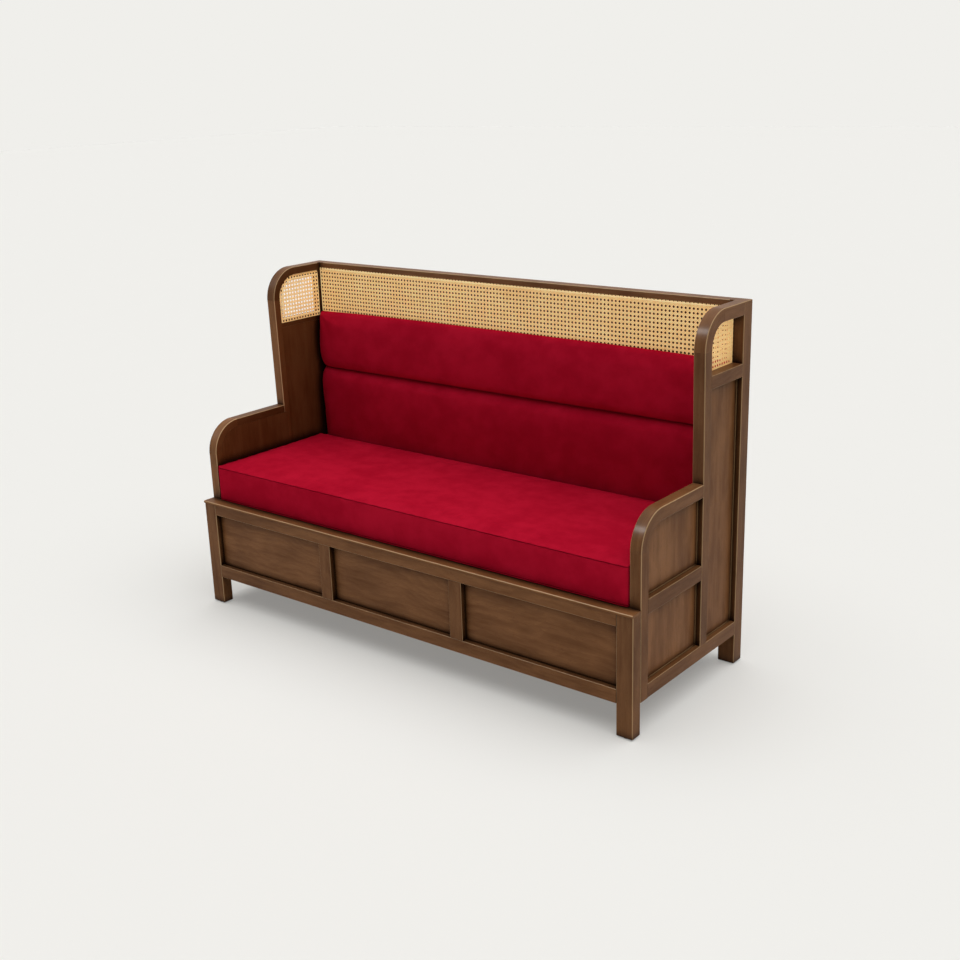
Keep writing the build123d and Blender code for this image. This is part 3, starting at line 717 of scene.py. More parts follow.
@dataclass(frozen=True)
class SmallParts:
    """Finishes of the screws and the glides."""

    steel: Colour = (0.60, 0.60, 0.58)
    turned_steel: Coat = Coat((0.42, 0.42, 0.40), 0.5)
    nylon: Colour = (0.030, 0.029, 0.028)
    scuffed_nylon: Coat = Coat((0.09, 0.088, 0.085), 0.5, (0.5, 0.8))
    turning: Mottle = Mottle((400.0, 400.0, 2600.0))
    scuffs: Mottle = Mottle((300.0, 300.0, 300.0), 4.0, 0.7)

    def make_steel(self) -> bpy.types.Material:
        """Zinc-plated steel, faintly turned."""
        web = NodeWeb.of_material("screw_steel")
        turned = web.noise(web.place(), self.turning)
        body = web.layers(self.steel, (turned, self.turned_steel))
        return web.close({"Base Color": body, "Metallic": 1.0, "Roughness": 0.30 + turned * 0.15})

    def make_nylon(self) -> bpy.types.Material:
        """Moulded nylon, matt, scuffed a little lighter."""
        web = NodeWeb.of_material("glide_nylon")
        scuff = web.noise(web.place(), self.scuffs)
        return web.close(
            {
                "Base Color": web.layers(self.nylon, (scuff, self.scuffed_nylon)),
                "Roughness": 0.5 + scuff * 0.2,
                "Normal": web.bump(scuff, 0.0001, 0.3),
            }
        )

    def dress(self, nodes: dict[str, bpy.types.Object]) -> None:
        """Give the screws and the glides their finishes."""
        assign(nodes["deck_screws"], self.make_steel())
        assign(nodes["glides"], self.make_nylon())


# Joinery
@dataclass
class Joinery:
    """The wooden pieces of the frame, which keep their CAD shapes and get their grain."""

    nodes: dict[str, bpy.types.Object]
    seed: int = 41
    frame_tone: float = 0.82
    # Shares of the painted recess shade held off faces that look up, at the ends and elsewhere.
    end_ledge_light: float = 0.95
    ledge_light: float = 0.3

    NOT_WOOD: ClassVar[tuple[str, ...]] = (
        "seat_cushion", "back_pad", "back_cane", "wing_cane", "deck_screws", "glides",
    )
    BOARDS: ClassVar[tuple[str, ...]] = ("seat_deck", "seat_bearer", "deck_cleat")
    UPRIGHT: ClassVar[tuple[str, ...]] = (
        "front_leg", "arm_stile", "wing_stile", "rear_post", "front_muntin", "arm_lower_panel",
        "arm_upper_panel", "wing_panel", "panel_beads",
    )
    FRONT_TO_BACK: ClassVar[tuple[str, ...]] = (
        "arm_top_rail", "arm_mid_rail", "side_bottom_rail", "wing_top_rail", "cane_rail",
    )
    ROUNDED: ClassVar[tuple[str, ...]] = ("arm_corner", "wing_corner")
    ENDS: ClassVar[tuple[str, ...]] = (
        "arm_", "wing_", "side_", "cane_rail", "panel_beads", "rear_post",
    )
    # Pieces darkened all over with painted shade: the beads in the reveals and the board behind the
    # cane.
    PAINTED_SHADE: ClassVar[dict[str, float]] = {
        "front_beads": 0.85, "panel_beads_left": 0.38, "panel_beads_right": 0.38,
        "cane_board": 0.30,
    }
    # The nosing's top takes the painted recess shade in full.
    LEDGES: ClassVar[dict[str, float]] = {"seat_nosing": 0.0}
    TONES: ClassVar[dict[str, float]] = {
        "seat_nosing": 1.0, "front_top_rail": 0.95, "wing_stile_right": 0.76,
        "wing_stile_left": 1.10, "arm_stile_left": 1.0, "arm_corner_left": 1.0,
        "front_leg_left": 0.95,
    }

    def dress(self) -> None:
        """Give every wooden node its own piece of oak, or plain board where it is out of sight."""
        draw = np.random.default_rng(self.seed)
        oak = StainedOak()
        board = PlainBoard().make()
        for name in sorted(self.nodes):
            if name.startswith(self.BOARDS):
                assign(self.nodes[name], board)
            elif not name.startswith(self.NOT_WOOD):
                assign(self.nodes[name], oak.make(f"oak_{name}", self.cut_of(name), draw))

    def cut_of(self, name: str) -> Cut:
        """How a piece is cut and stained.

        Args:
            name: The piece's CAD node.

        Returns:
            The cut. Frame pieces are a little darker than panels, and the pieces of the ends get
            painted shade on their faces towards the sitters.
        """
        ledge, inner_side = self.ledge_light, 0.0
        # The ends are darker on their faces towards the sitters with painted shade, and their
        # ledges are mostly spared it.
        if name.startswith(self.ENDS):
            ledge = self.end_ledge_light
            inner_side = 1.0 if name.endswith("left") else -1.0
        low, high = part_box(name)
        return Cut(
            grain=self.grain_of(name),
            centre=(low.y + CORNER_RADIUS, high.z - CORNER_RADIUS),
            settled=self.PAINTED_SHADE.get(name, 0.0),
            ledge_light=self.LEDGES.get(name, ledge),
            tone=self.TONES.get(name, 1.0 if "panel" in name else self.frame_tone),
            inner_side=inner_side,
        )

    def grain_of(self, name: str) -> Grain:
        """The way of a piece's fibres, by the start of its name."""
        kinds = {
            Grain.ROUND: self.ROUNDED,
            Grain.ALONG_Z: self.UPRIGHT,
            Grain.ALONG_Y: self.FRONT_TO_BACK,
        }
        found = [grain for grain, starts in kinds.items() if name.startswith(starts)]
        return found[0] if found else Grain.ALONG_X


# Cane
@dataclass(frozen=True)
class Strand:
    """The straight course of one strand in its sheet, and how it rises and dips.

    The rise is a wave in step with the weave: its height is the lift times the value that the
    wave gives for the place along the strand.
    """

    start: Pair
    heading: Pair
    length: float
    width: float
    lift: float
    wave: Callable[[Array], Array]
    step: float


class Hand(Enum):
    """Where a sheet of cane is, with the sign of X on that side."""

    BACK = 0.0
    LEFT = -1.0
    RIGHT = 1.0


@dataclass(frozen=True)
class Sheet:
    """A sheet of cane: its plane, and the rectangle and the outline that it fills."""

    middle: float
    hand: Hand
    low: Pair
    high: Pair
    inside: Callable[[Array, Array], Array]

    def place(self, across: Array, up: Array, height: Array) -> Array:
        """Points of the sheet in space.

        Args:
            across: Lengths along the sheet: along X for the back, along Y for a wing.
            up: Heights above the floor.
            height: How far a point stands out of the sheet, towards the sitters.

        Returns:
            The points, with x, y and z as the last axis.
        """
        if self.hand is Hand.BACK:
            return np.stack([across, self.middle - height, up], axis=-1)
        return np.stack([self.hand.value * (self.middle - height), across, up], axis=-1)


@dataclass
class CaneWork:
    """Woven cane in the back and the wings, strand by strand.

    Pairs of upright strands cross pairs of level ones, each over and under in turn. Two sets of
    slanting strands run midway between the crossings and cut the corners off the square gaps.
    """

    height: float
    material: bpy.types.Material
    pitch: float = 0.0127
    pair_gap: float = 0.0033
    strand_width: float = 0.0025
    slant_width: float = 0.0023
    thickness: float = 0.00042
    edge_share: float = 0.4
    swing: float = 0.00026
    slant_swing: float = 0.00050
    steps_per_pitch: int = 6
    margin: float = 0.0105
    post_gap: float = 0.0002
    band: float = 0.036
    lean: float = 0.0192
    reed_width: float = 0.0046
    reed_height: float = 0.0012
    reed_tone: float = 0.9
    highest_tone: float = 0.75
    reed_lines: int = 7
    rim_points: int = 60
    arc_points: int = 14
    reed_foot: float = 0.004
    lip_shadow: float = 0.0050
    strand_crease: float = 60.0
    reed_crease: float = 50.0
    seed: int = 7

    def pair_wave(self, sign: float) -> Callable[[Array], Array]:
        """The rise of an upright or level strand: one full wave at each crossing, flat between."""

        def wave(run: Array) -> Array:
            """The rise at places along the strand, from -1 to 1."""
            phase = (run / self.pitch + 0.5) % 1.0 - 0.5
            reach = self.pair_gap / self.pitch
            return sign * np.where(np.abs(phase) < reach, np.sin(phase / reach * pi), 0.0)

        return wave

    def slant_wave(self, sign: float) -> Callable[[Array], Array]:
        """The rise of a slanting strand: over a level pair, under an upright pair, and so on."""
        period = self.pitch * 2**0.5

        def wave(run: Array) -> Array:
            """The rise at places along the strand, from -1 to 1."""
            return sign * np.cos(run / period * 2 * pi)

        return wave

    def paired_strands(self, low: Pair, high: Pair, axis: int) -> list[Strand]:
        """The pairs of level or of upright strands over a rectangle.

        Args:
            low: The rectangle's lower left corner, where a crossing lies.
            high: Its upper right corner.
            axis: 0 for level strands, 1 for upright ones.

        Returns:
            The strands, from the lower left corner on.
        """
        over = 1 - axis
        first = 1.0 if axis else -1.0
        heading = (0.0, 1.0) if axis else (1.0, 0.0)
        step = self.pitch / self.steps_per_pitch
        strands = []
        for pair in range(int((high[over] - low[over]) / self.pitch) + 2):
            for half, sign in ((-0.5, first), (0.5, -first)):
                place = low[over] + pair * self.pitch + half * self.pair_gap
                if low[over] <= place <= high[over]:
                    start = (place, low[1]) if axis else (low[0], place)
                    length, wave = high[axis] - low[axis], self.pair_wave(sign)
                    strands.append(
                        Strand(start, heading, length, self.strand_width, self.swing, wave, step)
                    )
        return strands

    def slanting_strands(self, low: Pair, high: Pair, rise: float) -> list[Strand]:
        """One set of slanting strands over a rectangle, half a pitch beside every crossing.

        Args:
            low: The rectangle's lower left corner, where a crossing lies.
            high: Its upper right corner.
            rise: 1 for strands that climb to the right, -1 for strands that fall.

        Returns:
            The strands, each starting at the height of the lower or the upper edge.
        """
        tall = high[1] - low[1]
        rows = int(tall / self.pitch) + 1
        base = low[1] if rise > 0 else low[1] + rows * self.pitch
        heading = (0.5**0.5, rise * 0.5**0.5)
        period = self.pitch * 2**0.5
        wave = self.slant_wave(rise)
        return [
            Strand(
                (low[0] + (column + 0.5) * self.pitch, base), heading, rows * period,
                self.slant_width, self.slant_swing, wave, period / self.steps_per_pitch,
            )
            for column in range(-rows - 1, int((high[0] - low[0] + tall) / self.pitch) + 2)
        ]

    def weave(self, name: str, sheet: Sheet, strands: list[Strand], sides: int) -> None:
        """Make one piece of many strands, each a domed ribbon that stops at the sheet's outline.

        Args:
            name: The piece's name.
            sheet: The sheet that the strands lie in.
            strands: Their courses.
            sides: 3 for strands seen from one side only, or 4 for a lens-shaped section.
        """
        draw = np.random.default_rng(self.seed)
        half = self.thickness / 2
        points, faces, tones = [], [], []
        total = 0
        for strand in strands:
            run = np.arange(int(strand.length / strand.step) + 2) * strand.step
            across = strand.start[0] + strand.heading[0] * run
            up = strand.start[1] + strand.heading[1] * run
            kept = np.flatnonzero(sheet.inside(across, up))
            if len(kept) < 2:
                continue
            run, across, up = run[kept], across[kept], up[kept]
            height = strand.wave(run) * strand.lift
            side = np.array([-strand.heading[1], strand.heading[0]]) * strand.width / 2
            edge = height - half * self.edge_share
            rows = [
                sheet.place(across - side[0], up - side[1], edge),
                sheet.place(across, up, height + half),
                sheet.place(across + side[0], up + side[1], edge),
                sheet.place(across, up, height - half),
            ]
            points.append(np.stack(rows[:sides], axis=1).reshape(-1, 3))
            faces += (grid_faces(len(run), sides, True) + total).tolist()
            faces += end_caps(total, len(run), sides)
            total += len(run) * sides
            tones.append(np.full(len(run) * sides, draw.uniform(0.0, self.highest_tone)))
        piece = make_piece(name, np.concatenate(points), faces)
        store(piece, "strand_tone", np.concatenate(tones))
        if sheet.hand is not Hand.LEFT:
            piece.data.flip_normals()
        piece.data.set_sharp_from_angle(angle=radians(self.strand_crease))
        self.hang(piece, sheet)

    def reed(self, name: str, sheet: Sheet, path: Array, closed: bool) -> None:
        """Lay a flattened half-round strip on a sheet along its rim.

        Across the strip the height is the square root of one minus the square of the way from
        the middle to an edge.

        Args:
            name: The piece's name.
            sheet: The sheet that it lies on.
            path: The strip's middle line, in the sheet's flat coordinates.
            closed: Whether the line ends where it starts.
        """
        ahead = np.roll(path, -1, axis=0) - np.roll(path, 1, axis=0)
        if not closed:
            ahead[0], ahead[-1] = path[1] - path[0], path[-1] - path[-2]
        ahead /= np.linalg.norm(ahead, axis=1, keepdims=True)
        aside = np.stack([-ahead[:, 1], ahead[:, 0]], axis=-1)
        turn = np.linspace(0, pi, self.reed_lines)
        flat = path[:, None] + aside[:, None] * (np.cos(turn) * self.reed_width / 2)[:, None]
        height = np.broadcast_to(self.thickness + np.sin(turn) * self.reed_height, flat.shape[:2])
        points = sheet.place(flat[..., 0], flat[..., 1], height)
        if closed:
            points = np.concatenate([points, points[:1]])
        rows, columns = points.shape[:2]
        faces = grid_faces(rows, columns, True).tolist()
        if not closed:
            faces += end_caps(0, rows, columns)
        piece = make_piece(name, points, faces)
        store(piece, "strand_tone", np.full(rows * columns, self.reed_tone))
        self.close_up(piece)
        self.hang(piece, sheet)

    def close_up(self, piece: bpy.types.Object) -> None:
        """Merge a piece's doubled points and turn its faces outwards."""
        net = bmesh.new()
        net.from_mesh(piece.data)
        bmesh.ops.remove_doubles(net, verts=net.verts, dist=1e-6)
        bmesh.ops.recalc_face_normals(net, faces=net.faces)
        net.to_mesh(piece.data)
        net.free()
        piece.data.set_sharp_from_angle(angle=radians(self.reed_crease))

    def hang(self, piece: bpy.types.Object, sheet: Sheet) -> None:
        """Dress a piece of cane and let it stand for its sheet's CAD node."""
        assign(piece, self.material)
        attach(piece, "settle")
        hand = sheet.hand.name.lower()
        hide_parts("back_cane" if sheet.hand is Hand.BACK else f"wing_cane_{hand}")
        log.info("%s has %d faces", piece.name, len(piece.data.polygons))

    def back_sheet(self) -> Sheet:
        """The sheet in the back."""
        low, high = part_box("back_cane")

        def inside(across: Array, up: Array) -> Array:
            """Whether places lie within the sheet."""
            return (across > low.x) & (across < high.x) & (up > low.z) & (up < high.z)

        middle = (low.y + high.y) / 2
        return Sheet(middle, Hand.BACK, (low.x, low.z), (high.x, high.z), inside)

    def wing_corner(self) -> Pair:
        """The place along Y and Z that the wing's rounded corner turns about."""
        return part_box("wing_corner_right")[0].y + CORNER_RADIUS, self.height - CORNER_RADIUS

    def wing_sheet(self, hand: Hand) -> Sheet:
        """The sheet in one wing.

        It reaches a margin into the rebate round its opening, its upper front corner follows the
        wing's rounded corner, and a gap between pairs lies at its rear edge.
        """
        low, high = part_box("wing_cane_right")
        centre_y, centre_z = self.wing_corner()
        radius = CORNER_RADIUS - self.band + self.margin

        def inside(across: Array, up: Array) -> Array:
            """Whether places lie within the sheet."""
            lean = np.maximum(centre_z - up, 0.0) * self.lean
            flat = (across > centre_y - radius + lean) & (across < high.y - self.post_gap)
            flat &= (up > low.z) & (up < high.z)
            ahead, above = np.maximum(centre_y - across, 0.0), np.maximum(up - centre_z, 0.0)
            return flat & (ahead**2 + above**2 < radius**2)

        start = high.y - (int((high.y - low.y) / self.pitch) + 1) * self.pitch
        middle = (low.x + high.x) / 2
        return Sheet(middle, hand, (start, low.z), (high.y, high.z), inside)

    def back_rim(self) -> Array:
        """The line of the strip up one end of the back's cane, along its top and down again."""
        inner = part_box("arm_stile_right")[0].x - self.reed_width / 2
        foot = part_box("back_pad")[1].z - self.reed_foot
        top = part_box("back_cane")[1].z - self.lip_shadow
        across = np.linspace(-inner, inner, self.rim_points)
        upper = np.column_stack([across, np.full_like(across, top)])
        return np.concatenate([[(-inner, foot)], upper, [(inner, foot)]])

    def wing_rim(self) -> Array:
        """The line of the strip round a wing's opening, from its lower rear corner."""
        inset = self.reed_width / 2
        centre_y, centre_z = self.wing_corner()
        radius = CORNER_RADIUS - self.band - inset
        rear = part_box("rear_post_right")[0].y - inset
        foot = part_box("cane_rail_right")[1].z + inset
        turn = np.linspace(pi / 2, pi, self.arc_points)
        arc = np.column_stack([centre_y + radius * np.cos(turn), centre_z + radius * np.sin(turn)])
        front = centre_y - radius + (centre_z - foot) * self.lean
        return np.concatenate([[(rear, foot), (rear, centre_z + radius)], arc, [(front, foot)]])

    def build(self) -> None:
        """Weave the back in three pieces and each wing in one, and lay their reed strips."""
        for hand in Hand:
            sheet = self.back_sheet() if hand is Hand.BACK else self.wing_sheet(hand)
            low, high = sheet.low, sheet.high
            uprights = self.paired_strands(low, high, 1)
            levels = self.paired_strands(low, high, 0)
            slants = self.slanting_strands(low, high, 1.0) + self.slanting_strands(low, high, -1.0)
            if hand is Hand.BACK:
                self.weave("back_cane_uprights", sheet, uprights, 3)
                self.weave("back_cane_levels", sheet, levels, 3)
                self.weave("back_cane_slants", sheet, slants, 3)
                self.reed("back_cane_reed", sheet, self.back_rim(), False)
            else:
                side = hand.name.lower()
                self.weave(f"wing_cane_weave_{side}", sheet, uprights + levels + slants, 4)
                self.reed(f"wing_cane_reed_{side}", sheet, self.wing_rim(), True)


# Upholstery
@dataclass(frozen=True)
class BoxNet:
    """The numbering of a closed net: a near and a far grid, joined by rings round their rims."""

    columns: int
    rows: int
    rings: int

    def rim(self) -> Array:
        """Numbers of the points on a grid's rim, once round from its first corner."""
        column, row = np.arange(self.columns), np.arange(self.rows)
        sides = [
            column[:-1] * self.rows,
            column[-1] * self.rows + row[:-1],
            column[:0:-1] * self.rows + row[-1],
            row[:0:-1],
        ]
        return np.concatenate(sides)

    def faces(self) -> list[list[int]]:
        """Corners of every quad, all turned outwards.

        The near grid's first direction crossed with its second one points out of the net.
        """
        size = self.columns * self.rows
        loop = self.rim()
        count = len(loop)
        band = [loop] + [size + ring * count + np.arange(count) for ring in range(self.rings)]
        band.append(size + self.rings * count + loop)
        upper, lower = np.stack(band[:-1]), np.stack(band[1:])
        quads = [lower, np.roll(lower, -1, axis=1), np.roll(upper, -1, axis=1), upper]
        grid = grid_faces(self.columns, self.rows, False)
        walls = np.stack(quads, axis=-1).reshape(-1, 4)
        far = grid + size + self.rings * count
        return np.concatenate([grid[:, ::-1], walls, far]).tolist()


@dataclass
class Cover:
    """A cushion's skin before it swells.

    For each point, held says whether it is held, cap is the furthest that it may move, and seam
    is how deep it lies in a seam, from 0 to 1, which sets the painted shade of the seam. Low and
    high are the corners of the cover's room.
    """

    piece: bpy.types.Object
    held: Array
    cap: Array
    seam: Array
    low: Array
    high: Array


@dataclass
class Upholstery:
    """What both cushions share: the cloth's blowing up, its smoothing and its dressing."""

    spacing: float = 0.014
    pressure: float = 4.0
    frames: int = 14
    quality: int = 4
    mass: float = 0.35
    stretch: float = 22.0
    stiffness: float = 1.5

    @staticmethod
    def apply(piece: bpy.types.Object) -> None:
        """Turn a piece with its modifiers into one plain mesh."""
        graph = bpy.context.evaluated_depsgraph_get()
        settled = bpy.data.meshes.new_from_object(piece.evaluated_get(graph))
        piece.modifiers.clear()
        old = piece.data
        piece.data = settled
        settled.name = piece.name
        bpy.data.meshes.remove(old)

    def blow_up(self, cover: Cover) -> None:
        """Swell a cover as cloth under pressure, with each point kept within its cap."""
        piece = cover.piece
        before = points_of(piece.data)
        group = piece.vertex_groups.new(name="held")
        group.add(np.flatnonzero(cover.held).tolist(), 1.0, "REPLACE")
        cloth = piece.modifiers.new("cloth", "CLOTH")
        settings = cloth.settings
        settings.quality = self.quality
        settings.mass = self.mass
        settings.tension_stiffness = settings.compression_stiffness = self.stretch
        settings.bending_stiffness = self.stiffness
        settings.use_pressure = True
        settings.uniform_pressure_force = self.pressure
        settings.effector_weights.gravity = 0.0
        settings.vertex_group_mass = group.name
        settings.pin_stiffness = 1.0
        cloth.point_cache.frame_start = 1
        cloth.point_cache.frame_end = self.frames
        for frame in range(1, self.frames + 1):
            bpy.context.scene.frame_set(frame)
        self.apply(piece)
        bpy.context.scene.frame_set(1)
        shift = points_of(piece.data) - before
        reach = np.linalg.norm(shift, axis=1, keepdims=True)
        share = np.minimum(1.0, cover.cap[:, None] / np.maximum(reach, TINY))
        move_points(piece.data, before + shift * share)
        piece.vertex_groups.clear()

    def make_up(self, cover: Cover, velvet: str, node: str, body: str, fill: float) -> None:
        """Swell, smooth and dress a cover, and let it stand for its CAD node.

        Args:
            cover: The cover. Each of its faces is divided once after it has swollen.
            velvet: The name of its material.
            node: The CAD node that it replaces.
            body: The body that it rides on.
            fill: How tight the cushion is, from 0 to 1. It is not used.
        """
        piece = cover.piece
        # The seam values, which the velvet turns into painted shade.
        store(piece, "seam", cover.seam)
        self.blow_up(cover)
        move_points(piece.data, np.clip(points_of(piece.data), cover.low, cover.high))
        modifier = piece.modifiers.new("smooth", "SUBSURF")
        modifier.levels = modifier.render_levels = 1
        self.apply(piece)
        piece.data.shade_smooth()
        assign(piece, CrimsonVelvet().make(velvet))
        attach(piece, body)
        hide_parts(node)
        log.info("%s has %d faces", piece.name, len(piece.data.polygons))


@dataclass
class SeatCushion(Upholstery):
    """The loose seat cushion: a boxed block whose top and bottom panels meet the border in seams.

    A seam's profile is a list of steps from the panel outwards and down: how far each ring lies
    inside the outline, how far below the panel, and how deep it is in the seam, from 0 to 1, which
    sets its painted shade. Down to the panel drop the top swells as the panel does, and down to the
    free drop nothing is held.
    """

    corner: float = 0.011
    rise: float = 0.0055
    forward: float = 0.0025
    back_room: float = 0.0100
    panel_inset: float = 0.0050
    top_cap: float = 0.0070
    side_cap: float = 0.0028
    side_gap: float = 0.0015
    panel_drop: float = 0.001
    free_drop: float = 0.002
    room: Three = (0.001, 0.009, 0.0)
    edge_lines: tuple[float, ...] = (0.0, 0.004, 0.010, 0.020)
    seam: tuple[Three, ...] = (
        (0.0032, 0.0002, 0.0), (0.0016, 0.0008, 0.0), (0.0005, 0.0019, 0.0),
        (0.0002, 0.0031, 0.0), (0.0010, 0.0042, 0.4), (0.0036, 0.0049, 1.0),
        (0.0012, 0.0056, 0.4), (0.0004, 0.0067, 0.0), (0.0000, 0.0095, 0.0),
    )
    border_rings: int = 6
    puckers: Waves = ((0.0007, 0.047, 0.4), (0.0005, 0.029, 2.0))
    pucker_run: float = 0.012
    swells: Waves = ((0.0008, 0.31, 1.0), (0.0006, 0.19, 0.2))
    swell_shares: Waves = ((0.7, 0.27, 0.9),)
    swell_run: float = 0.05

    def block(self) -> tuple[Array, Array]:
        """The lowest and highest corners of the block before it swells, with its seams level."""
        low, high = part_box("seat_cushion")
        low = np.array(low) + (self.side_gap, -self.forward, 0.0)
        high = np.array(high) - (self.side_gap, self.back_room + self.side_cap, 0.0)
        high[2] += self.rise - self.top_cap
        return low, high

    def rings(self, thick: float) -> Array:
        """Rows of inset, drop and seam depth, from the top panel's rim to the bottom panel's."""
        seam = np.array(self.seam)
        drop = np.linspace(seam[-1, 1], thick - seam[-1, 1], self.border_rings + 2)[1:-1]
        border = np.stack([np.zeros_like(drop), drop, np.zeros_like(drop)], axis=-1)
        lower = seam[::-1] * (1.0, -1.0, 1.0) + (0.0, thick, 0.0)
        return np.concatenate([seam, border, lower])

    def unevenness(self, panel: Array, inner: Array) -> Array:
        """How far the top panel's points lie above its level.

        Args:
            panel: The points, along X and Y about the middle.
            inner: Half the panel's sizes.

        Returns:
            The heights. Short waves pucker the panel beside its seam and die out away from it,
            and long waves swell in its open part.
        """
        near_edge = (inner - np.abs(panel)).min(axis=-1)
        broad = ripple(panel[..., 0] * 0.9 + panel[..., 1], self.swells)
        broad = broad * ripple(panel[..., 1], self.swell_shares) + broad * 0.5
        pucker = ripple(panel[..., 0] + panel[..., 1], self.puckers)
        beside_seam = pucker * np.exp(-near_edge / self.pucker_run)
        return beside_seam + broad * (1 - np.exp(-near_edge / self.swell_run))

    def cover(self) -> Cover:
        """The cushion's skin: two panels of lines along X and Y, with rings round them."""
        low, high = self.block()
        thick = high[2] - low[2]
        middle, half = (low + high) / 2, (high - low) / 2
        inner = half[:2] - self.panel_inset
        x, y = (spaced(-reach, reach, self.edge_lines, self.spacing) for reach in inner)
        flat = np.stack(np.meshgrid(x, y, indexing="ij"), axis=-1)
        panel = ease_corners(flat, inner, self.corner - self.panel_inset)
        rings = self.rings(thick)
        net = BoxNet(len(x), len(y), len(rings))
        loop = flat.reshape(-1, 2)[net.rim()] / inner
        level = self.unevenness(panel, inner)
        top = np.dstack([panel, high[2] + level]).reshape(-1, 3)
        bottom = np.dstack([panel, np.full_like(level, low[2])]).reshape(-1, 3)
        walls = []
        for inset, drop, _ in rings:
            outline = half[:2] - inset
            place = ease_corners(loop * outline, outline, self.corner - inset)
            follow = max(0.0, 1 - drop / self.pucker_run)
            height = high[2] - drop + ripple(place.sum(axis=-1), self.puckers) * follow
            walls.append(np.column_stack([place, height]))
        points = np.concatenate([top, *walls, bottom])
        points[:, :2] += middle[:2]
        piece = make_piece("velvet_seat_cushion", points, net.faces())
        counts = [len(top)] + [len(loop)] * len(rings) + [len(bottom)]
        seam = np.repeat(np.concatenate([[0.0], rings[:, 2], [0.0]]), counts)
        drops = np.repeat(np.concatenate([[0.0], rings[:, 1], [thick]]), counts)
        seam_end = self.seam[-1][1]
        held = ((drops > self.free_drop) & (drops < seam_end)) | (drops > thick - seam_end)
        cap = np.where(drops < self.panel_drop, self.top_cap, self.side_cap)
        lowest, highest = (np.array(place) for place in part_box("seat_cushion"))
        upper_room = (self.room[0], -self.back_room, self.rise)
        return Cover(piece, held, cap, seam, lowest - self.room, highest + upper_room)

    def build(self) -> None:
        """Make, swell and dress the cushion."""
        self.make_up(self.cover(), "velvet_seat", "seat_cushion", "cushion", 0.85)


